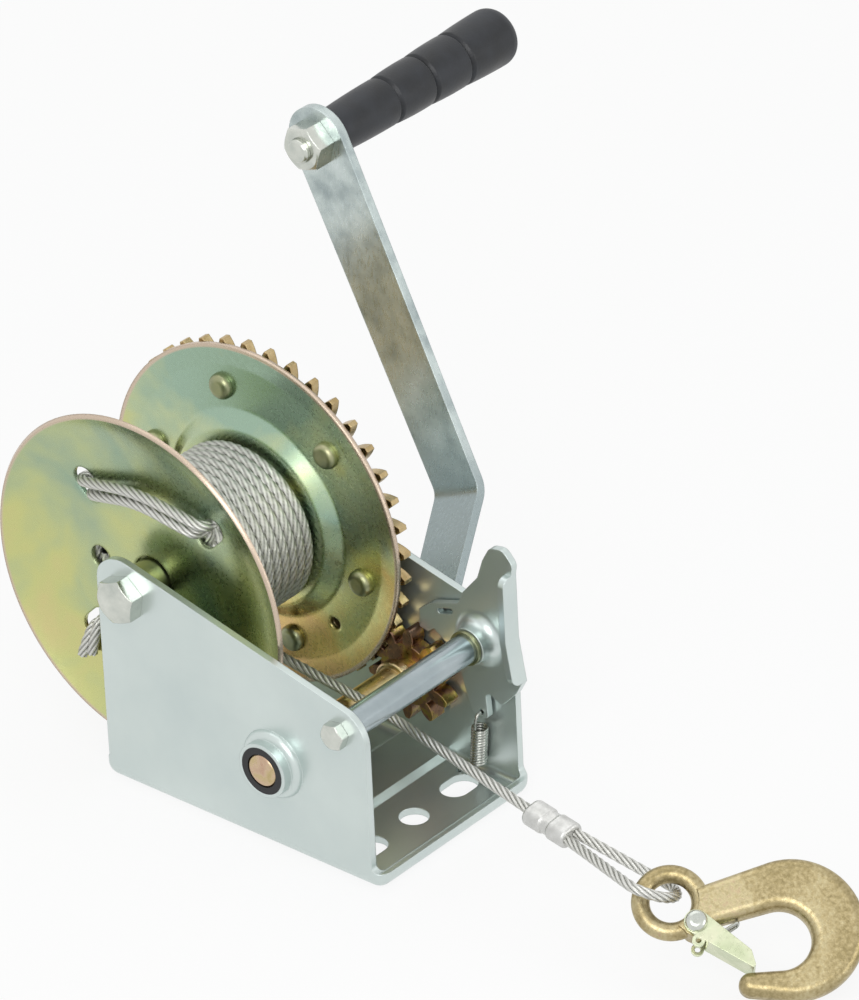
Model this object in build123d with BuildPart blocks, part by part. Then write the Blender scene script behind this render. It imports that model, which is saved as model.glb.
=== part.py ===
import math
import os

from build123d import *

os.makedirs("parts", exist_ok=True)

# Geared hand winch. +X runs along the axles towards the crank, the rope leaves towards -Y,
# and the origin is the middle of the base's underside. Millimetres.

# Frame: one pressed sheet, two side plates standing on a shallow tray
sheet = 3.0
frame_width = 91.0
tray_length = 143.0
tray_lip = 7.5
bend_radius = 6.0
plate_front_step = 5.0
plate_rear_step = 3.5
plate_front_height = 74.4
plate_rear_height = 106.4
plate_corner_radius = 13.0
lip_step_radius = 3.0
rib_front = -32.0
rib_rear = -6.0
rib_rise = 2.0
rib_slope = 3.0
fixing_hole_radius = 6.0
fixing_slot_length = 17.0
fixing_slot_inset = 18.5
fixing_behind_tie = 4.0
fixing_rear_inset = 22.5

# Axles
drum_y = 53.0
drum_z = 88.0
pinion_y = -19.3
pinion_z = 39.6
tie_y = -53.0
tie_z = 65.8
running_gap = 0.05
seat_gap = 0.05
side_gap = 0.3
edge_break = 0.8

# Bosses and bushes of the pinion shaft
boss_rise = 7.0
boss_radius = 11.5
boss_flare = 3.0
bush_radius = 10.0
bush_flange_radius = 12.5
bush_flange = 1.5
shaft_radius = 7.0
clip_radius = 10.5
clip_thickness = 1.2

# Fasteners
drum_bolt_radius = 5.0
drum_bolt_head_width = 17.0
drum_bolt_head = 7.0
drum_nut_height = 10.0
drum_washer_radius = 10.0
drum_washer_thickness = 2.0
sleeve_radius = 8.5
tie_bolt_radius = 3.0
tie_bolt_head_width = 10.0
tie_bolt_head = 4.2
tie_nut_height = 6.0
tie_tube_radius = 6.0
bolt_clearance = 0.2
thread_end = 2.5

# Drum
flange_sheet = 2.0
left_flange_room = 13.0
left_flange_radius = 71.5
left_flange_flat = 46.0
left_flange_dish = 9.0
flange_hole_radius = 9.5
slot_radius = 44.0
slot_width = 10.0
slot_length = 16.0
left_hole_radius = 5.0
left_hole_offset = 27.0
right_flange_room = 10.5
right_flange_radius = 72.4
right_flange_crease = 63.0
right_flange_lean = 1.5
right_dome_radius = 38.0
right_dome_foot = 44.4
right_dome_rise = 5.5
right_hole_radius = 2.75
right_hole_offset = 52.7
rivet_circle = 54.0
rivet_count = 6
rivet_start = 134.0
rivet_radius = 4.0
rivet_head_radius = 5.5
rivet_head = 3.5
rivet_tail = 1.5
rivet_tail_radius = 5.0
core_radius = 18.0

# Gears
gear_teeth = 40
pinion_teeth = 10
pressure_angle = math.radians(20)
tooth_backlash = 0.65
gear_width = 4.0
gear_addendum = 3.6
gear_dedendum = 4.6
pinion_addendum = 3.1
pinion_dedendum = 4.05
pinion_width = 7.2
collar_radius = 9.0
collar_width = 5.0
collar_setback = 4.0

# Rope
rope = 4.2
winding_radius = 32.9
winding_clearance = 0.45
winding_start_angle = 90.0
winding_gap = 0.3
anchor_depth = 4.5
anchor_radius = 44.0
anchor_pitch = 6.6
anchor_bend = 7.0
anchor_gap = 0.4
anchor_bow = 4.0
anchor_rise = 8.5
anchor_sweep = 62.0
anchor_tail = (31.8, -43.8)
anchor_tail_lean = 1.2
run_points = [(5.4, 53.0, 50.5), (-5.3, -44.9, 50.1), (-15.5, -121.8, 42.0)]
ferrule_length = 22.0
ferrule_width = 11.6
ferrule_thickness = 8.6
ferrule_twist = 75.0
ferrule_waist = 3.0
ferrule_pinch = 0.7
ferrule_round = 1.4
loop_spread = 4.7
loop_radius = 11.6
loop_twist = 37.0
ferrule_gap = 0.25

# Hook, lying with its flat side up and towards the front
eye_centre = (-22.0, -193.8, 32.7)
hook_normal = (-0.463, -0.430, 0.775)
hook_along = (0.643, -0.7645, -0.040)
eye_radius = 11.2
eye_section = 3.5
eye_sink = 0.7
hook_thickness = 10.0
hook_round = 4.0
neck_round = 4.0
bowl_radius = 27.3
bowl_x = 45.0
bowl_y = -10.7
throat_radius = 11.8
throat_x = 40.3
throat_y = -14.8
tip_radius = 4.6
tip_x = 29.5
tip_y = -32.0
neck_upper = (12.5, 6.5)
neck_lower = (17.5, -9.05)
latch_x = 9.3
latch_y = -9.1
latch_lug = 5.2
latch_pin_radius = 2.5
latch_pin_head = 4.2
latch_pin_rise = 2.6
latch_sheet = 1.5
latch_hub = 4.6
latch_reach = 27.4
latch_angle = -37.0
latch_end_low = -1.5
latch_shoulder = 3.5
latch_web_gap = 2.2
latch_ear = (5.0, -5.4)
latch_ear_radius = 2.4
latch_ear_hole = 1.1
latch_wire = 1.2
latch_wire_bend = 1.6
latch_wire_half = 2.7
latch_wire_foot = (21.0, 0.2)
latch_wire_turn = (8.0, -1.2)
latch_wire_end = (11.9, 10.3)

# Pawl
pawl_sheet = 3.0
pawl_room = 4.0
pawl_web_width = 8.0
pawl_hub_radius = 9.0
pawl_collar_radius = 7.8
pawl_collar = 7.5
pawl_flare = 5.0
pawl_pinion_gap = 0.5
pawl_tooth_toe = 98.5
pawl_tooth_heel = 110.0
pawl_engage = 9.5
pawl_lead = 1.5
pawl_under_tooth = (23.5, -4.0)
pawl_under_hub = (13.5, -10.5)
pawl_leg_front = (10.6, -18.5)
pawl_leg_side = (6.2, -33.1)
pawl_leg_end = (3.7, -36.8)
pawl_leg_back = (-2.5, -35.7)
pawl_leg_top = (-1.5, -23.0)
pawl_skirt = (-9.8, -26.7)
pawl_skirt_end = (-17.4, -18.4)
pawl_web_low = (-20.4, -12.8)
pawl_web_mid = (-17.2, 6.2)
pawl_web_top = (-17.0, 34.2)
pawl_thumb_front = (-17.8, 38.9)
pawl_thumb_top = (-13.1, 44.3)
pawl_thumb_back = (-6.5, 43.0)
pawl_neck_top = (-2.8, 36.2)
pawl_neck = (0.1, 27.5)
pawl_neck_foot = (8.0, 17.9)
pawl_arm_start = (10.5, 12.0)
pawl_arm_top = (24.1, 7.5)
pawl_arm_end = (30.5, 2.5)
pawl_thumb_round = 4.0
pawl_arm_round = 3.0
pawl_leg_round = 2.0
pawl_slot = (17.2, 6.2)
pawl_slot_length = 8.0
pawl_slot_width = 2.4
pawl_slot_lean = -18.0
tie_washer_radius = 7.2
tie_washer_thickness = 1.5
leg_hole_below = 33.6
leg_hole_offset = 0.8
leg_hole_radius = 1.2
spring_wire = 1.2
spring_radius = 2.9
spring_turns = 8
spring_pitch = 1.75
spring_low = 7.0
spring_inset = 4.1
spring_hole_radius = 1.2
spring_lead = 2.6
spring_foot_lead = 7.5

# Crank and grip
crank_lean = 25.4
crank_reach = 201.0
crank_thickness = 4.0
crank_hub_radius = 11.75
crank_end_radius = 14.0
crank_gap = 2.5
crank_offset = 37.5
crank_flat = 16.0
crank_knee = 50.5
crank_bend = 9.0
stub_radius = 6.0
stub_flat = 5.0
stub_length = 18.0
crank_spacer_radius = 11.0
crank_washer_radius = 11.5
crank_washer_thickness = 2.0
crank_nut_width = 19.0
crank_nut_height = 10.0
grip_bolt_radius = 5.0
grip_nut_hex = 6.2
grip_nut_collar = 3.0
grip_nut_width = 17.0
grip_washer_radius = 9.0
grip_washer_thickness = 2.0
grip_length = 102.7
grip_start_radius = 8.6
grip_end_radius = 12.2
grip_segments = 4
grip_first_segment = 32.7
grip_groove = 1.5
grip_counterbore_radius = 8.4
grip_counterbore = 15.5
grip_head_radius = 8.0
grip_head = 5.0
grip_cap = 6.0
grip_round = 7.5
grip_crown = 1.2

# Derived sizes
half_width = frame_width / 2
half_tray = tray_length / 2
plate_inner = half_width - sheet
plate_front = plate_front_step - half_tray
plate_rear = half_tray - plate_rear_step
fixing_front = tie_y + fixing_behind_tie
fixing_rear = half_tray - fixing_rear_inset
fixing_slot_x = half_width - fixing_slot_inset
boss_end = half_width + boss_rise
left_flange_face = left_flange_room - plate_inner
left_flange_inner = left_flange_face + flange_sheet
right_flange_face = plate_inner - right_flange_room
dome_face = right_flange_face - right_dome_rise
gear_face = right_flange_face + flange_sheet
pinion_face = plate_inner - bush_flange - side_gap - pinion_width
collar_face = pinion_face - collar_setback - collar_width
mesh_y = drum_y - pinion_y
mesh_z = drum_z - pinion_z
tooth_pitch = 2 * math.pi * math.hypot(mesh_y, mesh_z) / (gear_teeth + pinion_teeth)
gear_pitch_radius = tooth_pitch * gear_teeth / (2 * math.pi)
pinion_pitch_radius = tooth_pitch * pinion_teeth / (2 * math.pi)
tooth_width = tooth_pitch / 2 - tooth_backlash
gear_tip_radius = gear_pitch_radius + gear_addendum
gear_root_radius = gear_pitch_radius - gear_dedendum
pinion_tip_radius = pinion_pitch_radius + pinion_addendum
pinion_root_radius = pinion_pitch_radius - pinion_dedendum
rope_radius = rope / 2
pawl_face = plate_inner - pawl_room
pawl_tooth_radius = pinion_tip_radius + pawl_pinion_gap
leg_hole_y = tie_y + leg_hole_offset
leg_hole_z = tie_z - leg_hole_below
spring_x = plate_inner - spring_inset
crank_hub_face = boss_end + crank_gap
crank_arm_face = crank_hub_face + crank_offset
grip_nut_height = grip_nut_hex + grip_nut_collar


def face_plane(x, y, z):
    return Plane(origin=(x, y, z), x_dir=(0, 1, 0), z_dir=(1, 0, 0))


def axial_plane(y, z):
    return Plane(origin=(0, y, z), x_dir=(1, 0, 0), z_dir=(0, -1, 0))


def turning_axis(y, z):
    return Axis((0, y, z), (1, 0, 0))


def polar(radius, angle):
    return (radius * math.cos(angle), radius * math.sin(angle))


def tooth_half_angle(radius, pitch_radius, tooth):
    lean = math.acos(min(1.0, pitch_radius * math.cos(pressure_angle) / radius))
    involute_start = math.tan(pressure_angle) - pressure_angle
    return tooth / (2 * pitch_radius) + involute_start - (math.tan(lean) - lean)


def gear_outline(teeth, pitch_radius, root_radius, tip_radius, tooth, phase):
    root = tooth_half_angle(root_radius, pitch_radius, tooth)
    flank = tooth_half_angle(pitch_radius, pitch_radius, tooth)
    tip = tooth_half_angle(tip_radius, pitch_radius, tooth)
    step = 2 * math.pi / teeth
    for number in range(teeth):
        middle = phase + number * step
        rising = polar(root_radius, middle - root)
        top = polar(tip_radius, middle - tip)
        over = polar(tip_radius, middle + tip)
        falling = polar(root_radius, middle + root)
        following = polar(root_radius, middle + step - root)
        ThreePointArc(rising, polar(pitch_radius, middle - flank), top)
        ThreePointArc(top, polar(tip_radius, middle), over)
        ThreePointArc(over, polar(pitch_radius, middle + flank), falling)
        ThreePointArc(falling, polar(root_radius, middle + step / 2), following)


def biarc(start, start_way, end, end_way):
    # Two arcs, tangent to each other, from start along start_way to end along end_way
    chord = end - start
    ways = start_way + end_way
    along = chord.dot(ways)
    turn = 2 * (1 - start_way.dot(end_way))
    if turn < 1e-9:
        reach = chord.dot(chord) / (2 * along)
    else:
        reach = (math.sqrt(along**2 + turn * chord.dot(chord)) - along) / turn
    first_corner = start + start_way * reach
    second_corner = end - end_way * reach
    joint = (first_corner + second_corner) * 0.5
    for begin, corner, finish in ((start, first_corner, joint), (joint, second_corner, end)):
        weight = math.cos(math.radians((corner - begin).get_angle(finish - corner)) / 2)
        middle = (begin + finish + corner * (2 * weight)) * (1 / (2 + 2 * weight))
        ThreePointArc(begin, middle, finish)


def least_gap(points, skip, diameter):
    gaps = []
    for number, point in enumerate(points):
        for other in points[number + skip:]:
            gaps.append((other - point).length)
    return min(gaps) - diameter


# The frame: a tray pressed from sheet, trimmed to the side plates' outline
with BuildPart() as frame:
    Box(frame_width, tray_length, plate_rear_height + sheet, align=(Align.CENTER, Align.CENTER, Align.MIN))
    fillet(frame.edges().filter_by(Axis.Z), bend_radius)
    fillet(frame.faces().sort_by(Axis.Z)[0].edges(), bend_radius)
    offset(amount=-sheet, openings=frame.faces().sort_by(Axis.Z)[-1])
    with BuildSketch(Plane.YZ) as side_outline:
        with BuildLine():
            Polyline(
                (-half_tray, 0),
                (half_tray, 0),
                (half_tray, tray_lip),
                (plate_rear, tray_lip),
                (plate_rear, plate_rear_height),
                (plate_front, plate_front_height),
                (plate_front, tray_lip),
                (-half_tray, tray_lip),
                close=True,
            )
        make_face()
        fillet(side_outline.vertices().group_by(Axis.Y)[-2:], plate_corner_radius)
        step_corners = side_outline.vertices().filter_by_position(Axis.Y, tray_lip, tray_lip)
        fillet(step_corners.sort_by(Axis.X)[1:-1], lip_step_radius)
    extrude(amount=half_width, both=True, mode=Mode.INTERSECT)
    # The rib across the tray, pressed up from below
    with BuildSketch(Plane.YZ):
        with BuildLine():
            Polyline(
                (rib_front - rib_slope / 3, sheet),
                (rib_front + rib_slope * 2 / 3, sheet + rib_rise),
                (rib_rear - rib_slope * 2 / 3, sheet + rib_rise),
                (rib_rear + rib_slope / 3, sheet),
                close=True,
            )
        make_face()
    extrude(amount=half_width - sheet / 2, both=True)
    with BuildSketch(Plane.YZ):
        with BuildLine():
            Polyline(
                (rib_front, 0),
                (rib_front + rib_slope, rib_rise),
                (rib_rear - rib_slope, rib_rise),
                (rib_rear, 0),
                close=True,
            )
        make_face()
    extrude(amount=half_width, both=True, mode=Mode.SUBTRACT)
    # Bosses drawn outwards round the pinion shaft's bushes
    for side in (-1, 1):
        with BuildSketch(axial_plane(pinion_y, pinion_z)):
            with BuildLine():
                Polyline(
                    (side * (half_width + boss_flare), boss_radius),
                    (side * boss_end, boss_radius),
                    (side * boss_end, shaft_radius),
                    (side * plate_inner, shaft_radius),
                    (side * plate_inner, boss_radius + boss_flare),
                    (side * half_width, boss_radius + boss_flare),
                )
                RadiusArc(
                    (side * half_width, boss_radius + boss_flare),
                    (side * (half_width + boss_flare), boss_radius),
                    side * boss_flare,
                )
            make_face()
        revolve(axis=turning_axis(pinion_y, pinion_z))
    with BuildSketch(face_plane(0, 0, 0)):
        with Locations((pinion_y, pinion_z)):
            Circle(bush_radius)
        with Locations((drum_y, drum_z)):
            Circle(drum_bolt_radius + bolt_clearance)
        with Locations((tie_y, tie_z)):
            Circle(tie_bolt_radius + bolt_clearance)
    extrude(amount=boss_end + sheet, both=True, mode=Mode.SUBTRACT)
    # Fixing holes, and the small hole for the pawl spring
    with BuildSketch():
        with Locations((0, fixing_front), (0, fixing_rear)):
            Circle(fixing_hole_radius)
        with Locations((-fixing_slot_x, fixing_front), (fixing_slot_x, fixing_front)):
            SlotOverall(fixing_slot_length, 2 * fixing_hole_radius)
        with Locations((spring_x - spring_radius, leg_hole_y + spring_lead + spring_foot_lead)):
            Circle(spring_hole_radius)
    extrude(amount=sheet, mode=Mode.SUBTRACT)
frame.part.label = "frame"
export_step(frame.part, "parts/frame.step")

# Nylon bushes, one for each boss
with BuildPart() as left_bush:
    with BuildSketch(axial_plane(pinion_y, pinion_z)):
        with BuildLine():
            Polyline(
                (-boss_end, shaft_radius + running_gap),
                (-boss_end, bush_radius - seat_gap),
                (-plate_inner, bush_radius - seat_gap),
                (-plate_inner, bush_flange_radius),
                (-plate_inner + bush_flange, bush_flange_radius),
                (-plate_inner + bush_flange, shaft_radius + running_gap),
                close=True,
            )
        make_face()
    revolve(axis=turning_axis(pinion_y, pinion_z))
left_bush.part.label = "left_bush"
export_step(left_bush.part, "parts/left_bush.step")

with BuildPart() as right_bush:
    mirror(left_bush.part, about=Plane.YZ)
right_bush.part.label = "right_bush"
export_step(right_bush.part, "parts/right_bush.step")

# Drum bolt with its washer, locknut and the sleeve that the drum runs on
with BuildPart() as drum_bolt:
    with BuildSketch(face_plane(-half_width - drum_bolt_head, drum_y, drum_z)):
        RegularPolygon(drum_bolt_head_width / 2, 6, major_radius=False, rotation=10)
    extrude(amount=drum_bolt_head)
    chamfer(drum_bolt.faces().sort_by(Axis.X)[0].edges(), edge_break)
    with BuildSketch(face_plane(-half_width, drum_y, drum_z)):
        Circle(drum_bolt_radius)
    extrude(amount=frame_width + drum_washer_thickness + drum_nut_height + thread_end)
    chamfer(drum_bolt.faces().sort_by(Axis.X)[-1].edges(), edge_break)
drum_bolt.part.label = "drum_bolt"
export_step(drum_bolt.part, "parts/drum_bolt.step")

with BuildPart() as drum_washer:
    with BuildSketch(face_plane(half_width, drum_y, drum_z)):
        Circle(drum_washer_radius)
        Circle(drum_bolt_radius + bolt_clearance, mode=Mode.SUBTRACT)
    extrude(amount=drum_washer_thickness)
drum_washer.part.label = "drum_washer"
export_step(drum_washer.part, "parts/drum_washer.step")

with BuildPart() as drum_nut:
    with BuildSketch(face_plane(half_width + drum_washer_thickness, drum_y, drum_z)):
        RegularPolygon(drum_bolt_head_width / 2, 6, major_radius=False)
        Circle(drum_bolt_radius + seat_gap, mode=Mode.SUBTRACT)
    extrude(amount=drum_nut_height)
    chamfer(drum_nut.faces().sort_by(Axis.X)[-1].outer_wire().edges(), edge_break)
drum_nut.part.label = "drum_nut"
export_step(drum_nut.part, "parts/drum_nut.step")

with BuildPart() as axle_sleeve:
    with BuildSketch(face_plane(-plate_inner, drum_y, drum_z)):
        Circle(sleeve_radius)
        Circle(drum_bolt_radius + bolt_clearance, mode=Mode.SUBTRACT)
    extrude(amount=2 * plate_inner)
axle_sleeve.part.label = "axle_sleeve"
export_step(axle_sleeve.part, "parts/axle_sleeve.step")

# Left flange, dished away from the rope
dish_radius = ((left_flange_radius - left_flange_flat) ** 2 + left_flange_dish**2) / (2 * left_flange_dish)
dish_centre = left_flange_face - dish_radius
dish_sweep = math.asin((left_flange_radius - left_flange_flat) / dish_radius)


def dish_point(radius, share):
    angle = dish_sweep * share
    return (dish_centre + radius * math.cos(angle), left_flange_flat + radius * math.sin(angle))


with BuildPart() as left_flange:
    with BuildSketch(axial_plane(drum_y, drum_z)):
        with BuildLine():
            Polyline(
                dish_point(dish_radius + flange_sheet, 0),
                (left_flange_inner, flange_hole_radius),
                (left_flange_face, flange_hole_radius),
                dish_point(dish_radius, 0),
            )
            ThreePointArc(
                dish_point(dish_radius, 0), dish_point(dish_radius, 0.5), dish_point(dish_radius, 1)
            )
            Line(dish_point(dish_radius, 1), dish_point(dish_radius + flange_sheet, 1))
            ThreePointArc(
                dish_point(dish_radius + flange_sheet, 1),
                dish_point(dish_radius + flange_sheet, 0.5),
                dish_point(dish_radius + flange_sheet, 0),
            )
        make_face()
    revolve(axis=turning_axis(drum_y, drum_z))
    with BuildSketch(face_plane(left_flange_inner, drum_y, drum_z)):
        with PolarLocations(slot_radius, 4, start_angle=45):
            SlotOverall(slot_length, slot_width)
        with Locations((left_hole_offset, 0)):
            Circle(left_hole_radius)
    extrude(amount=-3 * flange_sheet, mode=Mode.SUBTRACT)
left_flange.part.label = "left_flange"
export_step(left_flange.part, "parts/left_flange.step")

# Right flange, with a raised centre towards the rope
with BuildPart() as right_flange:
    with BuildSketch(axial_plane(drum_y, drum_z)) as flange_outline:
        with BuildLine():
            Polyline(
                (dome_face, flange_hole_radius),
                (dome_face, right_dome_radius),
                (right_flange_face, right_dome_foot),
                (right_flange_face, right_flange_crease),
                (right_flange_face - right_flange_lean, right_flange_radius),
                (gear_face - right_flange_lean, right_flange_radius),
                (gear_face, right_flange_crease),
                (gear_face, right_dome_foot - flange_sheet / 2),
                (dome_face + flange_sheet, right_dome_radius - flange_sheet / 2),
                (dome_face + flange_sheet, flange_hole_radius),
                close=True,
            )
        make_face()
        dome_corners = flange_outline.vertices().filter_by_position(
            Axis.Y, right_dome_radius - flange_sheet, right_dome_foot + flange_sheet
        )
        fillet(dome_corners, flange_sheet)
    revolve(axis=turning_axis(drum_y, drum_z))
    with BuildSketch(face_plane(right_flange_face, drum_y, drum_z)):
        with PolarLocations(rivet_circle, rivet_count, start_angle=rivet_start):
            Circle(rivet_radius + seat_gap)
        with PolarLocations(right_hole_offset, 1, start_angle=225):
            Circle(right_hole_radius)
    extrude(amount=flange_sheet, mode=Mode.SUBTRACT)
right_flange.part.label = "right_flange"
export_step(right_flange.part, "parts/right_flange.step")

# The drum's hub between the flanges
with BuildPart() as drum_core:
    with BuildSketch(face_plane(left_flange_inner, drum_y, drum_z)):
        Circle(core_radius)
        Circle(sleeve_radius + running_gap, mode=Mode.SUBTRACT)
    extrude(amount=dome_face - left_flange_inner)
drum_core.part.label = "drum_core"
export_step(drum_core.part, "parts/drum_core.step")

# Gear and pinion. A pinion space faces the pawl, and the gear is turned to mesh with it
mesh_angle = math.atan2(mesh_z, mesh_y)
pinion_step = 2 * math.pi / pinion_teeth
tooth_across, tooth_height = polar(
    pawl_tooth_radius, math.radians((pawl_tooth_toe + pawl_tooth_heel) / 2)
)
tooth_arm = complex(pinion_y + tooth_across - tie_y, pinion_z + tooth_height - tie_z)
tooth_turn = complex(*polar(1, math.radians(-pawl_engage)))
tooth_engaged = complex(tie_y - pinion_y, tie_z - pinion_z) + tooth_arm * tooth_turn
space_angle = math.atan2(tooth_engaged.imag, tooth_engaged.real) - math.radians(pawl_lead)
space_count = round((mesh_angle - space_angle) / pinion_step)
mesh_offset = mesh_angle - space_angle - space_count * pinion_step
gear_phase = mesh_angle + math.pi + mesh_offset * pinion_teeth / gear_teeth

with BuildPart() as drum_gear:
    with BuildSketch(face_plane(gear_face, drum_y, drum_z)):
        with BuildLine():
            gear_outline(
                gear_teeth, gear_pitch_radius, gear_root_radius, gear_tip_radius, tooth_width, gear_phase
            )
        make_face()
        Circle(sleeve_radius + running_gap, mode=Mode.SUBTRACT)
        with PolarLocations(rivet_circle, rivet_count, start_angle=rivet_start):
            Circle(rivet_radius + seat_gap, mode=Mode.SUBTRACT)
        with PolarLocations(right_hole_offset, 1, start_angle=225):
            Circle(right_hole_radius, mode=Mode.SUBTRACT)
    extrude(amount=gear_width)
drum_gear.part.label = "drum_gear"
export_step(drum_gear.part, "parts/drum_gear.step")

with BuildPart() as pinion:
    with BuildSketch(face_plane(pinion_face, pinion_y, pinion_z)):
        with BuildLine():
            gear_outline(
                pinion_teeth,
                pinion_pitch_radius,
                pinion_root_radius,
                pinion_tip_radius,
                tooth_width,
                space_angle + pinion_step / 2,
            )
        make_face()
        Circle(shaft_radius + seat_gap, mode=Mode.SUBTRACT)
    extrude(amount=pinion_width)
pinion.part.label = "pinion"
export_step(pinion.part, "parts/pinion.step")

# Rivets that hold the gear to the right flange
with BuildPart() as gear_rivets:
    with BuildSketch(face_plane(right_flange_face - rivet_head, drum_y, drum_z)):
        with PolarLocations(rivet_circle, rivet_count, start_angle=rivet_start):
            Circle(rivet_head_radius)
    extrude(amount=rivet_head)
    fillet(gear_rivets.edges().group_by(Axis.X)[0], rivet_head * 0.8)
    with BuildSketch(face_plane(right_flange_face, drum_y, drum_z)):
        with PolarLocations(rivet_circle, rivet_count, start_angle=rivet_start):
            Circle(rivet_radius)
    extrude(amount=flange_sheet + gear_width)
    with BuildSketch(face_plane(gear_face + gear_width, drum_y, drum_z)):
        with PolarLocations(rivet_circle, rivet_count, start_angle=rivet_start):
            Circle(rivet_tail_radius)
    extrude(amount=rivet_tail)
gear_rivets.part.label = "gear_rivets"
export_step(gear_rivets.part, "parts/gear_rivets.step")

# Pinion shaft with its collar and the flatted stub for the crank
with BuildPart() as pinion_shaft:
    with BuildSketch(axial_plane(pinion_y, pinion_z)) as shaft_outline:
        with BuildLine():
            Polyline(
                (-boss_end, 0),
                (-boss_end, shaft_radius),
                (collar_face, shaft_radius),
                (collar_face, collar_radius),
                (collar_face + collar_width, collar_radius),
                (collar_face + collar_width, shaft_radius),
                (crank_hub_face, shaft_radius),
                (crank_hub_face, 0),
                close=True,
            )
        make_face()
        fillet(shaft_outline.vertices().group_by(Axis.Y)[-1], (collar_radius - shaft_radius) / 2)
        shaft_corners = shaft_outline.vertices().filter_by_position(Axis.Y, shaft_radius / 2, shaft_radius)
        chamfer(shaft_corners.sort_by(Axis.X)[0], edge_break)
    revolve(axis=turning_axis(pinion_y, pinion_z))
    with BuildSketch(face_plane(crank_hub_face, pinion_y, pinion_z)):
        Circle(stub_radius)
        Rectangle(2 * stub_flat, 2 * stub_radius, rotation=-crank_lean, mode=Mode.INTERSECT)
    extrude(amount=crank_thickness)
    with BuildSketch(face_plane(crank_hub_face + crank_thickness, pinion_y, pinion_z)):
        Circle(stub_flat)
    extrude(amount=stub_length - crank_thickness)
pinion_shaft.part.label = "pinion_shaft"
export_step(pinion_shaft.part, "parts/pinion_shaft.step")

with BuildPart() as shaft_clip:
    with BuildSketch(face_plane(-plate_inner + bush_flange + side_gap, pinion_y, pinion_z)):
        Circle(clip_radius)
        Circle(shaft_radius + seat_gap, mode=Mode.SUBTRACT)
    extrude(amount=clip_thickness)
shaft_clip.part.label = "shaft_clip"
export_step(shaft_clip.part, "parts/shaft_clip.step")

# Rope on the drum: a plain sleeve for the inner layers, and one wound outer layer
with BuildPart() as cable_inner_layers:
    with BuildSketch(face_plane(left_flange_inner, drum_y, drum_z)):
        Circle(winding_radius - rope_radius - winding_gap)
        Circle(core_radius + seat_gap, mode=Mode.SUBTRACT)
    extrude(amount=dome_face - left_flange_inner)
cable_inner_layers.part.label = "cable_inner_layers"
export_step(cable_inner_layers.part, "parts/cable_inner_layers.step")

winding_first = left_flange_inner + rope_radius + winding_gap
winding_last = dome_face - rope_radius - winding_gap
winding_quarters = math.floor(4 * (winding_last - winding_first) / (rope + winding_clearance))
winding_turns = winding_quarters / 4
winding_pitch = (winding_last - winding_first) / winding_turns


def winding_point(turn):
    angle = math.radians(winding_start_angle) + 2 * math.pi * turn
    across, height = polar(winding_radius, angle)
    return Vector(winding_first + winding_pitch * turn, drum_y + across, drum_z + height)


def winding_way(turn):
    angle = math.radians(winding_start_angle) + 2 * math.pi * turn
    speed = 2 * math.pi * winding_radius
    way = Vector(winding_pitch, -speed * math.sin(angle), speed * math.cos(angle))
    return way.normalized()


with BuildPart() as cable_winding:
    with BuildLine() as winding_path:
        Line(winding_point(0) - winding_way(0) * rope, winding_point(0))
        for quarter in range(winding_quarters):
            begin = quarter / 4
            finish = begin + 0.25
            biarc(winding_point(begin), winding_way(begin), winding_point(finish), winding_way(finish))
        Line(
            winding_point(winding_turns),
            winding_point(winding_turns) + winding_way(winding_turns) * rope,
        )
    with BuildSketch(Plane(origin=winding_path.line @ 0, z_dir=winding_path.line % 0)):
        Circle(rope_radius)
    sweep(path=winding_path.wire())
cable_winding.part.label = "cable_winding"
export_step(cable_winding.part, "parts/cable_winding.step")
winding_samples = [winding_path.wire() @ (number / 900) for number in range(901)]
print("cable_winding least gap", round(least_gap(winding_samples, 60, rope), 2))
print("cable_winding volume", round(cable_winding.part.volume),
      "section by length", round(math.pi * rope_radius**2 * winding_path.wire().length))


# The rope's fixed end: two strands from slot to slot outside the left flange, and a tail
def anchor_point(x, angle, radius):
    across, height = polar(radius, math.radians(angle))
    return (x, drum_y + across, drum_z + height)


anchor_face = left_flange_face - rope_radius - anchor_gap
anchor_inner = left_flange_inner + anchor_depth
with BuildPart() as cable_anchor:
    for strand in (-0.5, 0.5):
        strand_radius = anchor_radius + strand * anchor_pitch
        middle_height = drum_z + strand_radius * math.sin(math.radians(45)) + anchor_rise
        with BuildLine() as strand_path:
            FilletPolyline(
                anchor_point(anchor_inner, 45, strand_radius),
                anchor_point(anchor_face, 45, strand_radius),
                (anchor_face - anchor_bow, drum_y, middle_height),
                anchor_point(anchor_face, 135, strand_radius),
                anchor_point(anchor_inner, 135, strand_radius),
                radius=[anchor_bend, anchor_sweep, anchor_bend],
            )
        with BuildSketch(Plane(origin=strand_path.line @ 0, z_dir=strand_path.line % 0)):
            Circle(rope_radius)
        sweep(path=strand_path.wire())
    with BuildLine() as tail_path:
        FilletPolyline(
            anchor_point(anchor_inner, -45, anchor_radius - rope_radius),
            anchor_point(anchor_face, -45, anchor_radius - rope_radius),
            (anchor_face - anchor_tail_lean, drum_y + anchor_tail[0], drum_z + anchor_tail[1]),
            radius=anchor_bend,
        )
    with BuildSketch(Plane(origin=tail_path.line @ 0, z_dir=tail_path.line % 0)):
        Circle(rope_radius)
    sweep(path=tail_path.wire())
cable_anchor.part.label = "cable_anchor"
export_step(cable_anchor.part, "parts/cable_anchor.step")

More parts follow.
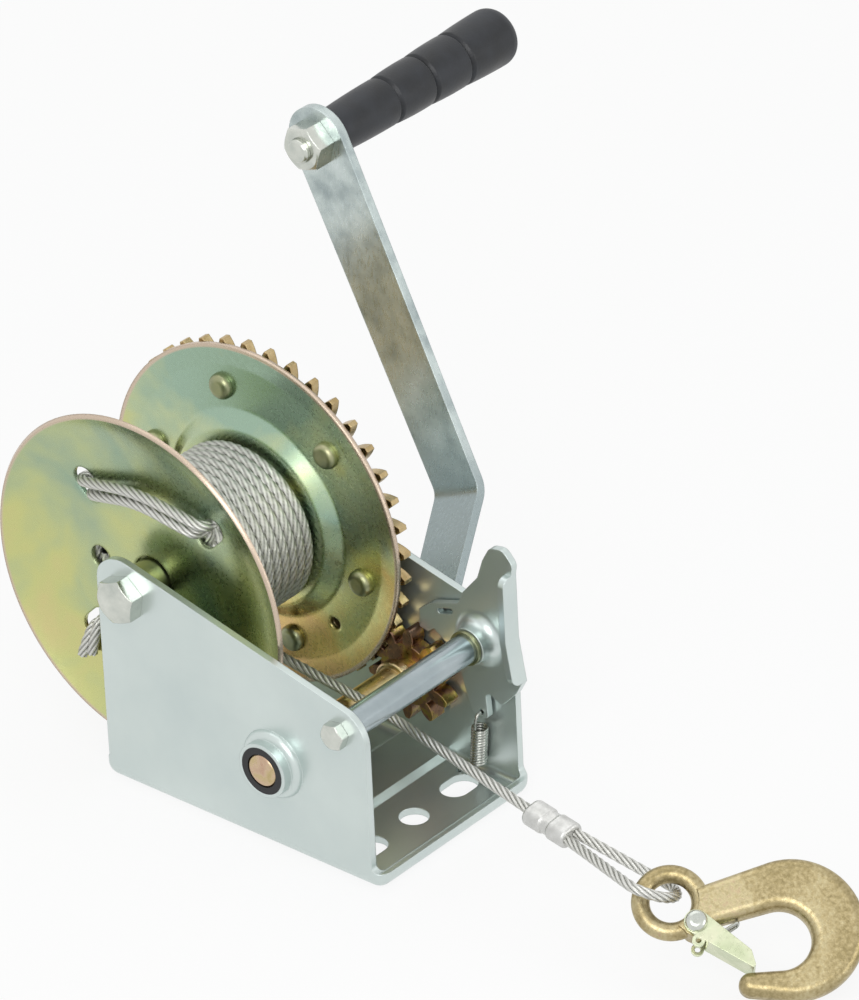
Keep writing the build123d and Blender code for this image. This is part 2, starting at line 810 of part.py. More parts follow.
# Free rope, pulled straight from under the drum, over the shaft and under the tie
run_turn = (Vector(*run_points[1]) - Vector(*run_points[0])).get_angle(
    Vector(*run_points[2]) - Vector(*run_points[1])
)
run_short = min(
    (Vector(*run_points[1]) - Vector(*run_points[0])).length,
    (Vector(*run_points[2]) - Vector(*run_points[1])).length,
)
run_radius = 0.45 * run_short / math.tan(math.radians(run_turn / 2))
with BuildPart() as cable_run:
    with BuildLine() as run_path:
        FilletPolyline(*run_points, radius=[run_radius])
    with BuildSketch(Plane(origin=run_path.line @ 0, z_dir=run_path.line % 0)):
        Circle(rope_radius)
    sweep(path=run_path.wire())
cable_run.part.label = "cable_run"
export_step(cable_run.part, "parts/cable_run.step")
print("cable_run radius", round(run_radius), "volume", round(cable_run.part.volume),
      "section by length", round(math.pi * rope_radius**2 * run_path.wire().length))

# Where the loop goes round the eye: its bight is centred on the eye's section nearest the ferrule
hook_plane = Plane(origin=eye_centre, x_dir=hook_along, z_dir=hook_normal)
run_end = Vector(*run_points[2])
to_ferrule = run_end - Vector(*eye_centre)
in_plane = to_ferrule - hook_plane.z_dir * to_ferrule.dot(hook_plane.z_dir)
bight_centre = Vector(*eye_centre) + in_plane.normalized() * eye_radius
loop_way = (bight_centre - run_end).normalized()
ferrule_start = run_end + loop_way * ferrule_gap
across_eye = hook_plane.z_dir.cross(in_plane).normalized()
front_way = (hook_plane.z_dir - loop_way * hook_plane.z_dir.dot(loop_way)).normalized()
spread_way = front_way * math.cos(math.radians(loop_twist)) + across_eye * math.sin(math.radians(loop_twist))
ferrule_way = front_way * math.cos(math.radians(ferrule_twist)) + across_eye * math.sin(
    math.radians(ferrule_twist)
)
ferrule_plane = Plane(origin=ferrule_start, x_dir=ferrule_way, z_dir=loop_way)
ferrule_end = ferrule_start + loop_way * ferrule_length

with BuildPart() as ferrule:
    # Two pressed barrels with a pinched waist between them
    barrel = (ferrule_length - ferrule_waist) / 2
    for start in (0, barrel + ferrule_waist):
        with BuildSketch(ferrule_plane.offset(start)):
            SlotOverall(ferrule_width, ferrule_thickness)
        extrude(amount=barrel)
    fillet(ferrule.faces().filter_by(ferrule_plane).edges(), ferrule_round)
    with BuildSketch(ferrule_plane.offset(barrel - ferrule_round)):
        SlotOverall(ferrule_width - 2 * ferrule_pinch, ferrule_thickness - 2 * ferrule_pinch)
    extrude(amount=ferrule_waist + 2 * ferrule_round)
ferrule.part.label = "ferrule"
export_step(ferrule.part, "parts/ferrule.step")

upper_start = ferrule_end + ferrule_way * (loop_spread / 2)
lower_start = ferrule_end - ferrule_way * (loop_spread / 2)
upper_bight = bight_centre + spread_way * loop_radius
lower_bight = bight_centre - spread_way * loop_radius
with BuildPart() as cable_loop:
    with BuildLine() as loop_path:
        Line(upper_start, upper_start + loop_way * rope)
        biarc(upper_start + loop_way * rope, loop_way, upper_bight, loop_way)
        ThreePointArc(upper_bight, bight_centre + loop_way * loop_radius, lower_bight)
        biarc(lower_bight, -loop_way, lower_start + loop_way * rope, -loop_way)
        Line(lower_start + loop_way * rope, lower_start)
    with BuildSketch(Plane(origin=loop_path.line @ 0, z_dir=loop_path.line % 0)):
        Circle(rope_radius)
    sweep(path=loop_path.wire())
cable_loop.part.label = "cable_loop"
export_step(cable_loop.part, "parts/cable_loop.step")


# Hook: a forged bowl with a round eye, drawn in its own plane about the eye's centre
def bowl_point(angle):
    across, height = polar(bowl_radius, math.radians(angle))
    return (bowl_x + across, bowl_y + height)


def throat_point(angle):
    across, height = polar(throat_radius, math.radians(angle))
    return (throat_x + across, throat_y + height)


def tip_point(angle):
    across, height = polar(tip_radius, math.radians(angle))
    return (tip_x + across, tip_y + height)


def lug_point(angle):
    across, height = polar(latch_lug, math.radians(angle))
    return (latch_x + across, latch_y + height)


def eye_point(angle):
    return polar(eye_radius - eye_sink, math.radians(angle))


with BuildPart() as hook:
    with BuildSketch(hook_plane.offset(-hook_thickness / 2)) as hook_outline:
        with BuildLine():
            Line(neck_upper, bowl_point(112))
            ThreePointArc(bowl_point(112), bowl_point(0), bowl_point(-95))
            Line(bowl_point(-95), tip_point(-95))
            ThreePointArc(tip_point(-95), tip_point(180), tip_point(95))
            Line(tip_point(95), throat_point(-85))
            ThreePointArc(throat_point(-85), throat_point(0), throat_point(106))
            Polyline(throat_point(106), neck_lower, lug_point(-68))
            ThreePointArc(lug_point(-68), lug_point(-110), lug_point(-150))
            Line(lug_point(-150), eye_point(-75))
            ThreePointArc(eye_point(-75), eye_point(-20), eye_point(27))
            Line(eye_point(27), neck_upper)
        make_face()
        fillet(hook_outline.vertices().sort_by_distance(neck_lower)[0], neck_round)
    extrude(amount=hook_thickness)
    hook_rims = hook.faces().filter_by(hook_plane).edges()
    bowl_rims = hook_rims.filter_by(
        lambda edge: edge.length > hook_thickness
        and (edge.center() - Vector(*eye_centre)).length > eye_radius + eye_section
    )
    fillet(bowl_rims, hook_round)
    with BuildSketch(Plane(origin=eye_centre, x_dir=hook_along, z_dir=hook_plane.y_dir)):
        with Locations((eye_radius, 0)):
            Circle(eye_section)
    revolve(axis=Axis(eye_centre, hook_plane.z_dir))
    with BuildSketch(hook_plane):
        with Locations((latch_x, latch_y)):
            Circle(latch_pin_radius + running_gap)
    extrude(amount=hook_thickness, both=True, mode=Mode.SUBTRACT)
hook.part.label = "hook"
export_step(hook.part, "parts/hook.step")

# Latch: a sheet channel over the neck, closing the throat against the inside of the tip
latch_origin = hook_plane.from_local_coords((latch_x, latch_y, 0))
latch_way = hook_plane.x_dir * math.cos(math.radians(latch_angle)) + hook_plane.y_dir * math.sin(
    math.radians(latch_angle)
)
latch_plane = Plane(origin=latch_origin, x_dir=latch_way, z_dir=hook_plane.z_dir)
cheek_inner = hook_thickness / 2 + side_gap
cheek_outer = cheek_inner + latch_sheet
latch_slope = (latch_end_low + latch_hub) / latch_reach
latch_web_start = latch_lug + latch_web_gap

with BuildPart() as hook_latch:
    with BuildSketch(latch_plane):
        with BuildLine():
            Polyline(
                (0, -latch_hub),
                (latch_reach, latch_end_low),
                (latch_reach, latch_end_low + latch_sheet),
                (latch_reach - latch_hub, latch_shoulder),
                (0, latch_hub),
            )
            ThreePointArc((0, latch_hub), (-latch_hub, 0), (0, -latch_hub))
        make_face()
        with Locations(latch_ear):
            Circle(latch_ear_radius)
            Circle(latch_ear_hole, mode=Mode.SUBTRACT)
    extrude(amount=cheek_outer, both=True)
    with BuildSketch(latch_plane):
        with BuildLine():
            Polyline(
                (-2 * latch_hub, -3 * latch_hub),
                (latch_web_start, -3 * latch_hub),
                (latch_web_start, latch_sheet - latch_hub + latch_slope * latch_web_start),
                (latch_reach, latch_end_low + latch_sheet),
                (latch_reach, 2 * latch_hub),
                (-2 * latch_hub, 2 * latch_hub),
                close=True,
            )
        make_face()
    extrude(amount=cheek_inner, both=True, mode=Mode.SUBTRACT)
    with BuildSketch(latch_plane):
        Circle(latch_pin_radius + running_gap)
    extrude(amount=cheek_outer, both=True, mode=Mode.SUBTRACT)
hook_latch.part.label = "hook_latch"
export_step(hook_latch.part, "parts/hook_latch.step")

with BuildPart() as latch_pin:
    with BuildSketch(latch_plane):
        Circle(latch_pin_radius)
    extrude(amount=cheek_outer + side_gap, both=True)
    for side in (-1, 1):
        with BuildSketch(latch_plane.offset(side * (cheek_outer + side_gap))):
            Circle(latch_pin_head)
        extrude(amount=side * latch_pin_rise)
    pin_faces = latch_pin.faces().sort_by(Axis(latch_origin, latch_plane.z_dir))
    fillet(pin_faces[0].edges() + pin_faces[-1].edges(), latch_pin_rise * 0.9)
latch_pin.part.label = "latch_pin"
export_step(latch_pin.part, "parts/latch_pin.step")

with BuildPart() as latch_spring:
    with BuildLine(latch_plane) as latch_wire_path:
        FilletPolyline(
            (*latch_wire_foot, latch_wire_half),
            (*latch_wire_turn, latch_wire_half),
            (*latch_wire_end, latch_wire_half),
            (*latch_wire_end, -latch_wire_half),
            (*latch_wire_turn, -latch_wire_half),
            (*latch_wire_foot, -latch_wire_half),
            radius=latch_wire_bend,
        )
    with BuildSketch(Plane(origin=latch_wire_path.line @ 0, z_dir=latch_wire_path.line % 0)):
        Circle(latch_wire / 2)
    sweep(path=latch_wire_path.wire())
latch_spring.part.label = "latch_spring"
export_step(latch_spring.part, "parts/latch_spring.step")

# Tie between the plates, which the pawl turns on
with BuildPart() as tie_tube:
    with BuildSketch(face_plane(-plate_inner, tie_y, tie_z)):
        Circle(tie_tube_radius)
        Circle(tie_bolt_radius + bolt_clearance, mode=Mode.SUBTRACT)
    extrude(amount=2 * plate_inner)
tie_tube.part.label = "tie_tube"
export_step(tie_tube.part, "parts/tie_tube.step")

with BuildPart() as tie_bolt:
    with BuildSketch(face_plane(-half_width - tie_bolt_head, tie_y, tie_z)):
        RegularPolygon(tie_bolt_head_width / 2, 6, major_radius=False, rotation=20)
    extrude(amount=tie_bolt_head)
    chamfer(tie_bolt.faces().sort_by(Axis.X)[0].edges(), edge_break / 2)
    with BuildSketch(face_plane(-half_width, tie_y, tie_z)):
        Circle(tie_bolt_radius)
    extrude(amount=frame_width + tie_nut_height + thread_end)
tie_bolt.part.label = "tie_bolt"
export_step(tie_bolt.part, "parts/tie_bolt.step")

with BuildPart() as tie_nut:
    with BuildSketch(face_plane(half_width, tie_y, tie_z)):
        RegularPolygon(tie_bolt_head_width / 2, 6, major_radius=False)
        Circle(tie_bolt_radius + seat_gap, mode=Mode.SUBTRACT)
    extrude(amount=tie_nut_height)
    chamfer(tie_nut.faces().sort_by(Axis.X)[-1].outer_wire().edges(), edge_break / 2)
tie_nut.part.label = "tie_nut"
export_step(tie_nut.part, "parts/tie_nut.step")

with BuildPart() as tie_washer:
    with BuildSketch(face_plane(pawl_face - pawl_collar - side_gap - tie_washer_thickness, tie_y, tie_z)):
        Circle(tie_washer_radius)
        Circle(tie_tube_radius + seat_gap, mode=Mode.SUBTRACT)
    extrude(amount=tie_washer_thickness)
tie_washer.part.label = "tie_washer"
export_step(tie_washer.part, "parts/tie_washer.step")

# Pawl: a sheet cheek with a tooth, a thumb tab, a leg for its spring, a folded front web and a
# collar drawn out round the tie
tooth_heel = polar(pawl_tooth_radius, math.radians(pawl_tooth_heel))
tooth_toe = polar(pawl_tooth_radius, math.radians(pawl_tooth_toe))
web_edge = pawl_face + pawl_sheet - pawl_web_width
with BuildPart() as pawl:
    with BuildSketch(face_plane(pawl_face, tie_y, tie_z)) as pawl_outline:
        with BuildLine():
            Polyline(
                (pinion_y + tooth_toe[0] - tie_y, pinion_z + tooth_toe[1] - tie_z),
                (pinion_y + tooth_heel[0] - tie_y, pinion_z + tooth_heel[1] - tie_z),
                pawl_under_tooth,
                pawl_under_hub,
                pawl_leg_front,
                pawl_leg_side,
                pawl_leg_end,
                pawl_leg_back,
                pawl_leg_top,
                pawl_skirt,
                pawl_skirt_end,
                pawl_web_low,
                pawl_web_mid,
                pawl_web_top,
                pawl_thumb_front,
                pawl_thumb_top,
                pawl_thumb_back,
                pawl_neck_top,
                pawl_neck,
                pawl_neck_foot,
                pawl_arm_start,
                pawl_arm_top,
                pawl_arm_end,
                close=True,
            )
        make_face()
        fillet(pawl_outline.vertices().filter_by(lambda v: v.Y > pawl_web_top[1]), pawl_thumb_round)
        fillet(
            pawl_outline.vertices().filter_by(lambda v: pawl_arm_top[1] <= v.Y <= pawl_neck[1] and v.X > 0),
            pawl_arm_round,
        )
        fillet(pawl_outline.vertices().filter_by(lambda v: v.Y <= pawl_under_hub[1]), pawl_leg_round)
        Circle(tie_tube_radius + running_gap, mode=Mode.SUBTRACT)
        with Locations((leg_hole_y - tie_y, leg_hole_z - tie_z)):
            Circle(leg_hole_radius, mode=Mode.SUBTRACT)
        with Locations(pawl_slot):
            SlotOverall(pawl_slot_length, pawl_slot_width, rotation=pawl_slot_lean, mode=Mode.SUBTRACT)
    extrude(amount=pawl_sheet)
    with BuildSketch(face_plane(web_edge, tie_y, tie_z)):
        with BuildLine():
            Polyline(
                pawl_web_low,
                pawl_web_mid,
                pawl_web_top,
                (pawl_web_top[0] + pawl_sheet, pawl_web_top[1]),
                (pawl_web_mid[0] + pawl_sheet, pawl_web_mid[1]),
                (pawl_web_low[0] + pawl_sheet, pawl_web_low[1]),
                close=True,
            )
        make_face()
    extrude(amount=pawl_web_width)
    web_ends = pawl.edges().filter_by(Axis.Y).filter_by_position(Axis.X, web_edge, web_edge)
    fillet(web_ends, pawl_thumb_round)
    # The collar flares into the cheek on the rope's side, and a plain hub reaches the side plate
    with BuildSketch(axial_plane(tie_y, tie_z)):
        with BuildLine():
            Polyline(
                (pawl_face - pawl_flare, pawl_collar_radius),
                (pawl_face - pawl_collar, pawl_collar_radius),
                (pawl_face - pawl_collar, tie_tube_radius + running_gap),
                (pawl_face + pawl_sheet, tie_tube_radius + running_gap),
                (pawl_face + pawl_sheet, pawl_collar_radius + pawl_flare),
                (pawl_face, pawl_collar_radius + pawl_flare),
            )
            RadiusArc(
                (pawl_face, pawl_collar_radius + pawl_flare),
                (pawl_face - pawl_flare, pawl_collar_radius),
                pawl_flare,
            )
        make_face()
    revolve(axis=turning_axis(tie_y, tie_z))
    with BuildSketch(face_plane(pawl_face + pawl_sheet, tie_y, tie_z)):
        Circle(pawl_hub_radius)
        Circle(tie_tube_radius + running_gap, mode=Mode.SUBTRACT)
    extrude(amount=plate_inner - pawl_face - pawl_sheet - side_gap)
pawl.part.label = "pawl"
export_step(pawl.part, "parts/pawl.step")

# Pawl spring, one wire: hooked in the leg, wound, and through the tray
spring_slope = math.atan(spring_pitch / (2 * math.pi * spring_radius))
spring_y = leg_hole_y + spring_lead * math.cos(spring_slope)


def spring_point(turn):
    across, along = polar(spring_radius, math.pi + 2 * math.pi * turn)
    return Vector(spring_x + across, spring_y + along, spring_low + spring_pitch * turn)


def spring_way(turn):
    angle = math.pi + 2 * math.pi * turn
    speed = 2 * math.pi * spring_radius
    return Vector(-speed * math.sin(angle), speed * math.cos(angle), spring_pitch).normalized()


spring_first = spring_point(0)
spring_last = spring_point(spring_turns)
spring_foot = spring_first - spring_way(0) * spring_foot_lead
spring_head = spring_last + spring_way(spring_turns) * spring_lead
with BuildPart() as pawl_spring:
    with BuildLine() as spring_path:
        FilletPolyline(
            (spring_foot.X, spring_foot.Y, spring_wire / 2),
            spring_foot,
            spring_first,
            radius=1.5 * spring_wire,
        )
        for quarter in range(4 * spring_turns):
            begin = quarter / 4
            finish = begin + 0.25
            biarc(spring_point(begin), spring_way(begin), spring_point(finish), spring_way(finish))
        FilletPolyline(
            spring_last,
            spring_head,
            (spring_head.X, spring_head.Y, leg_hole_z),
            (pawl_face + pawl_sheet + spring_wire / 2, spring_head.Y, leg_hole_z),
            radius=1.2 * spring_wire,
        )
    with BuildSketch(Plane(origin=spring_path.wire() @ 0, z_dir=spring_path.wire() % 0)):
        Circle(spring_wire / 2)
    sweep(path=spring_path.wire())
pawl_spring.part.label = "pawl_spring"
export_step(pawl_spring.part, "parts/pawl_spring.step")
spring_samples = [spring_path.wire() @ (number / 500) for number in range(501)]
print("pawl_spring least gap", round(least_gap(spring_samples, 22, spring_wire), 2))

# Crank: a flat bar bent outwards, flat at the hub and along the arm
crank_way = Vector(0, math.sin(math.radians(crank_lean)), math.cos(math.radians(crank_lean)))
shaft_centre = Vector(0, pinion_y, pinion_z)
crank_side = Vector(1, 0, 0).cross(crank_way)
crank_profile_plane = Plane(origin=shaft_centre, x_dir=(1, 0, 0), z_dir=crank_side)
crank_outline_plane = Plane(origin=shaft_centre, x_dir=crank_way, z_dir=(1, 0, 0))
crank_middle = crank_thickness / 2
with BuildPart() as crank_arm:
    with BuildLine(crank_profile_plane) as crank_path:
        FilletPolyline(
            (crank_hub_face + crank_middle, -crank_end_radius),
            (crank_hub_face + crank_middle, crank_flat),
            (crank_arm_face + crank_middle, crank_knee),
            (crank_arm_face + crank_middle, crank_reach + crank_end_radius),
            radius=crank_bend,
        )
    with BuildSketch(Plane(origin=crank_path.wire() @ 0, x_dir=(1, 0, 0), z_dir=crank_path.wire() % 0)):
        Rectangle(crank_thickness, 3 * crank_end_radius)
    sweep(path=crank_path.wire())
    with BuildSketch(crank_outline_plane):
        Circle(crank_hub_radius)
        with Locations((crank_reach, 0)):
            Circle(crank_end_radius)
        make_hull()
    extrude(amount=crank_arm_face + 2 * crank_thickness, mode=Mode.INTERSECT)
    with BuildSketch(crank_outline_plane):
        with Locations((crank_reach, 0)):
            Circle(grip_bolt_radius + bolt_clearance)
    extrude(amount=crank_arm_face + 2 * crank_thickness, mode=Mode.SUBTRACT)
    with BuildSketch(crank_outline_plane):
        Circle(stub_radius + seat_gap)
        Rectangle(2 * (stub_radius + seat_gap), 2 * (stub_flat + seat_gap), mode=Mode.INTERSECT)
    extrude(amount=crank_hub_face + crank_thickness, mode=Mode.SUBTRACT)
crank_arm.part.label = "crank_arm"
export_step(crank_arm.part, "parts/crank_arm.step")

with BuildPart() as crank_spacer:
    with BuildSketch(face_plane(boss_end + side_gap, pinion_y, pinion_z)):
        Circle(crank_spacer_radius)
        Circle(shaft_radius + seat_gap, mode=Mode.SUBTRACT)
    extrude(amount=crank_hub_face - boss_end - side_gap)
crank_spacer.part.label = "crank_spacer"
export_step(crank_spacer.part, "parts/crank_spacer.step")

crank_outer = crank_hub_face + crank_thickness
with BuildPart() as crank_washer:
    with BuildSketch(face_plane(crank_outer, pinion_y, pinion_z)):
        Circle(crank_washer_radius)
        Circle(stub_flat + bolt_clearance, mode=Mode.SUBTRACT)
    extrude(amount=crank_washer_thickness)
crank_washer.part.label = "crank_washer"
export_step(crank_washer.part, "parts/crank_washer.step")

with BuildPart() as crank_nut:
    with BuildSketch(face_plane(crank_outer + crank_washer_thickness, pinion_y, pinion_z)):
        RegularPolygon(crank_nut_width / 2, 6, major_radius=False)
        Circle(stub_flat + seat_gap, mode=Mode.SUBTRACT)
    extrude(amount=crank_nut_height)
    chamfer(crank_nut.faces().sort_by(Axis.X)[-1].outer_wire().edges(), edge_break)
crank_nut.part.label = "crank_nut"
export_step(crank_nut.part, "parts/crank_nut.step")

# Grip, turning on its bolt
grip_y = pinion_y + crank_reach * crank_way.Y
grip_z = pinion_z + crank_reach * crank_way.Z
grip_face = crank_arm_face + crank_thickness + grip_washer_thickness + side_gap
grip_end = grip_face + grip_length
head_seat = grip_end - grip_counterbore
with BuildPart() as grip_bolt:
    with BuildSketch(face_plane(crank_arm_face - grip_nut_height - thread_end, grip_y, grip_z)):
        Circle(grip_bolt_radius)
    extrude(amount=head_seat + side_gap - crank_arm_face + grip_nut_height + thread_end)
    chamfer(grip_bolt.faces().sort_by(Axis.X)[0].edges(), edge_break)
    with BuildSketch(face_plane(head_seat + side_gap, grip_y, grip_z)):
        Circle(grip_head_radius)
    extrude(amount=grip_head)
grip_bolt.part.label = "grip_bolt"
export_step(grip_bolt.part, "parts/grip_bolt.step")

# A locknut with a round collar
with BuildPart() as grip_nut:
    with BuildSketch(face_plane(crank_arm_face - grip_nut_height, grip_y, grip_z)):
        Circle(grip_nut_width / 2 - edge_break)
    extrude(amount=grip_nut_collar)
    fillet(grip_nut.edges().group_by(Axis.X)[0], grip_nut_collar * 0.7)
    with BuildSketch(face_plane(crank_arm_face - grip_nut_hex, grip_y, grip_z)):
        RegularPolygon(grip_nut_width / 2, 6, major_radius=False, rotation=15)
    extrude(amount=grip_nut_hex)
    with BuildSketch(face_plane(crank_arm_face, grip_y, grip_z)):
        Circle(grip_bolt_radius + seat_gap)
    extrude(amount=-grip_nut_height, mode=Mode.SUBTRACT)
grip_nut.part.label = "grip_nut"
export_step(grip_nut.part, "parts/grip_nut.step")

with BuildPart() as grip_washer:
    with BuildSketch(face_plane(crank_arm_face + crank_thickness, grip_y, grip_z)):
        Circle(grip_washer_radius)
        Circle(grip_bolt_radius + bolt_clearance, mode=Mode.SUBTRACT)
    extrude(amount=grip_washer_thickness)
grip_washer.part.label = "grip_washer"
export_step(grip_washer.part, "parts/grip_washer.step")

grip_slope = (grip_end_radius - grip_start_radius) / grip_length
grip_other_segment = (grip_length - grip_first_segment - grip_round) / (grip_segments - 1)


def grip_radius(x):
    return grip_start_radius + grip_slope * (x - grip_face)


grip_marks = [grip_face]
for number in range(grip_segments):
    grip_marks.append(grip_face + grip_first_segment + number * grip_other_segment)

with BuildPart() as grip:
    with BuildSketch(axial_plane(grip_y, grip_z)):
        with BuildLine():
            Polyline(
                (head_seat, grip_bolt_radius + running_gap),
                (grip_face, grip_bolt_radius + running_gap),
                (grip_face, grip_radius(grip_face) - grip_groove),
            )
            for start, end in zip(grip_marks[:-1], grip_marks[1:]):
                middle = (start + end) / 2
                ThreePointArc(
                    (start, grip_radius(start) - grip_groove),
                    (middle, grip_radius(middle)),
                    (end, grip_radius(end) - grip_groove),
                )
            grip_shoulder = (grip_marks[-1], grip_radius(grip_marks[-1]) - grip_groove)
            ThreePointArc(
                grip_shoulder,
                (grip_end - grip_round * 0.25, grip_counterbore_radius + grip_round * 0.4),
                (grip_end, grip_counterbore_radius + running_gap),
            )
            Polyline(
                (grip_end, grip_counterbore_radius + running_gap),
                (head_seat, grip_counterbore_radius + running_gap),
                (head_seat, grip_bolt_radius + running_gap),
            )
        make_face()
    revolve(axis=turning_axis(grip_y, grip_z))
grip.part.label = "grip"
export_step(grip.part, "parts/grip.step")

with BuildPart() as grip_plug:
    with BuildSketch(face_plane(grip_end - grip_cap, grip_y, grip_z)):
        Circle(grip_counterbore_radius)
    extrude(amount=grip_cap + grip_crown)
    fillet(grip_plug.edges().group_by(Axis.X)[-1], grip_crown)
grip_plug.part.label = "grip_cap"
export_step(grip_plug.part, "parts/grip_cap.step")
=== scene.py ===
import math

import bpy
import numpy as np
from mathutils import Matrix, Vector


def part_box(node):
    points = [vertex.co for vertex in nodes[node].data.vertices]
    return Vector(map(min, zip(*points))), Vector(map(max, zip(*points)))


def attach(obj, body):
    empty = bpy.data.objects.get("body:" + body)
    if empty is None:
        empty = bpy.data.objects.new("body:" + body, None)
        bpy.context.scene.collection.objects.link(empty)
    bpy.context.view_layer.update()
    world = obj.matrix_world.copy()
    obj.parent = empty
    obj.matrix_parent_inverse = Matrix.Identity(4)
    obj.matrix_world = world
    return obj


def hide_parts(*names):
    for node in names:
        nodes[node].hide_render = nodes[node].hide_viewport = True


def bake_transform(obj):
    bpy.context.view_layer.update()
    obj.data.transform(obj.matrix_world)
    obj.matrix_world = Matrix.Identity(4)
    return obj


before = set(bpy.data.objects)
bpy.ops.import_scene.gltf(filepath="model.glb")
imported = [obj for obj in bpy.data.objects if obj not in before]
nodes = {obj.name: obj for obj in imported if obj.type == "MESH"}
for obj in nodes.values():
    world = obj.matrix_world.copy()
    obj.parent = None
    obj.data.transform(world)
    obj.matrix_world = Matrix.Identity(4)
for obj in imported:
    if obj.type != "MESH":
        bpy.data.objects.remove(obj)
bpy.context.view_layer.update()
scene = bpy.context.scene
scene.view_settings.view_transform = "Standard"
millimetre = 0.001
print("frame loaded:", len(nodes), "nodes")

# Camera, at the photograph's angle
cameraSetup = {
    "azimuth": -48.55,  # degrees round Z, from -Y
    "elevation": 30.85,
    "roll": -2.67,
    "distance": 3.0978,  # metres from the aim
    "aim": (0.0045, 0.053, 0.088),  # on the drum's axis
    "right": 0.08443,  # the picture's middle, to the right of the aim and above it
    "above": 0.01608,
    "lens": 288.0,  # mm, as the sensor is
    "sensor": 36.0,
    "clipEnd": 20.0,
}


# Puts a camera or a lamp in its place, looking away from its back
def standAt(item, place, right, above, back):
    turn = Matrix(np.column_stack([right, above, back]).tolist()).to_4x4()
    item.matrix_world = Matrix.Translation(tuple(place)) @ turn
    scene.collection.objects.link(item)


def placeCamera(setup):
    azimuth, elevation, roll = np.radians([setup["azimuth"], setup["elevation"], setup["roll"]])
    flat = math.cos(elevation)
    back = np.array([math.sin(azimuth) * flat, -math.cos(azimuth) * flat, math.sin(elevation)])
    level = np.array([math.cos(azimuth), math.sin(azimuth), 0.0])
    upright = np.cross(back, level)
    right = math.cos(roll) * level + math.sin(roll) * upright
    above = math.cos(roll) * upright - math.sin(roll) * level
    middle = np.array(setup["aim"]) + right * setup["right"] + above * setup["above"]
    lensData = bpy.data.cameras.new("photoCamera")
    lensData.lens = setup["lens"]
    lensData.sensor_fit = "AUTO"
    lensData.sensor_width = setup["sensor"]
    lensData.clip_end = setup["clipEnd"]
    camera = bpy.data.objects.new("photoCamera", lensData)
    standAt(camera, middle + back * setup["distance"], right, above, back)
    scene.camera = camera


placeCamera(cameraSetup)
print("camera placed")


# Node tools: hex colours to linear, and one call that adds a node
def hexColour(code):
    parts = np.array([int(code[k:k + 2], 16) for k in (1, 3, 5)]) / 255
    linear = np.where(parts <= 0.04045, parts / 12.92, ((parts + 0.055) / 1.055) ** 2.4)
    return (*linear.tolist(), 1.0)


def addNode(tree, kind, inputs=None, stops=None, **settings):
    node = tree.nodes.new(kind)
    for key, value in settings.items():
        setattr(node, key, value)
    for key, value in (inputs or {}).items():
        if isinstance(value, bpy.types.NodeSocket):
            tree.links.new(value, node.inputs[key])
        else:
            node.inputs[key].default_value = value
    if stops:
        elements = node.color_ramp.elements
        while len(elements) < len(stops):
            elements.new(0.5)
        for element, (place, code) in zip(elements, stops):
            element.position = place
            element.color = hexColour(code)
    return node


def startMaterial(name, inputs):
    material = bpy.data.materials.new(name)
    material.use_nodes = True
    tree = material.node_tree
    tree.nodes.clear()
    shader = addNode(tree, "ShaderNodeBsdfPrincipled", inputs)
    addNode(tree, "ShaderNodeOutputMaterial", {"Surface": shader.outputs["BSDF"]})
    return material, tree, shader


# What the finishes share. Grain and pits are drawn coarser than the real ones, so that they show
surfaceSetup = {
    "cloudStops": (0.3, 0.55, 0.78),  # dark, middle and light clouds of plate
    "wearStops": (0.35, 0.75),  # dark and rubbed plastic
    "noiseSpan": (0.3, 0.7),  # where most of a noise's values lie
    "bumpDepth": 0.2 * millimetre,
    "edge": 0.0006,  # plated edges are slightly round and catch the light
    "edgeSamples": 6,
}


# A noise's scale, from the size of what it draws in mm
def scaleOf(size):
    return 1 / (size * millimetre)


# A plated skin: its grain gives the roughness and small dents, over slightly round edges
def platedSkin(tree, shader, grain, setup):
    noiseLow, noiseHigh = surfaceSetup["noiseSpan"]
    rough = addNode(tree, "ShaderNodeMapRange",
                    {"Value": grain, "From Min": noiseLow, "From Max": noiseHigh,
                     "To Min": setup["rough"][0], "To Max": setup["rough"][1]})
    tree.links.new(rough.outputs["Result"], shader.inputs["Roughness"])
    edges = addNode(tree, "ShaderNodeBevel", {"Radius": setup.get("edge", surfaceSetup["edge"])},
                    samples=surfaceSetup["edgeSamples"])
    dents = addNode(tree, "ShaderNodeBump",
                    {"Height": grain, "Strength": setup["bump"], "Distance": surfaceSetup["bumpDepth"],
                     "Normal": edges.outputs["Normal"]})
    tree.links.new(dents.outputs["Normal"], shader.inputs["Normal"])


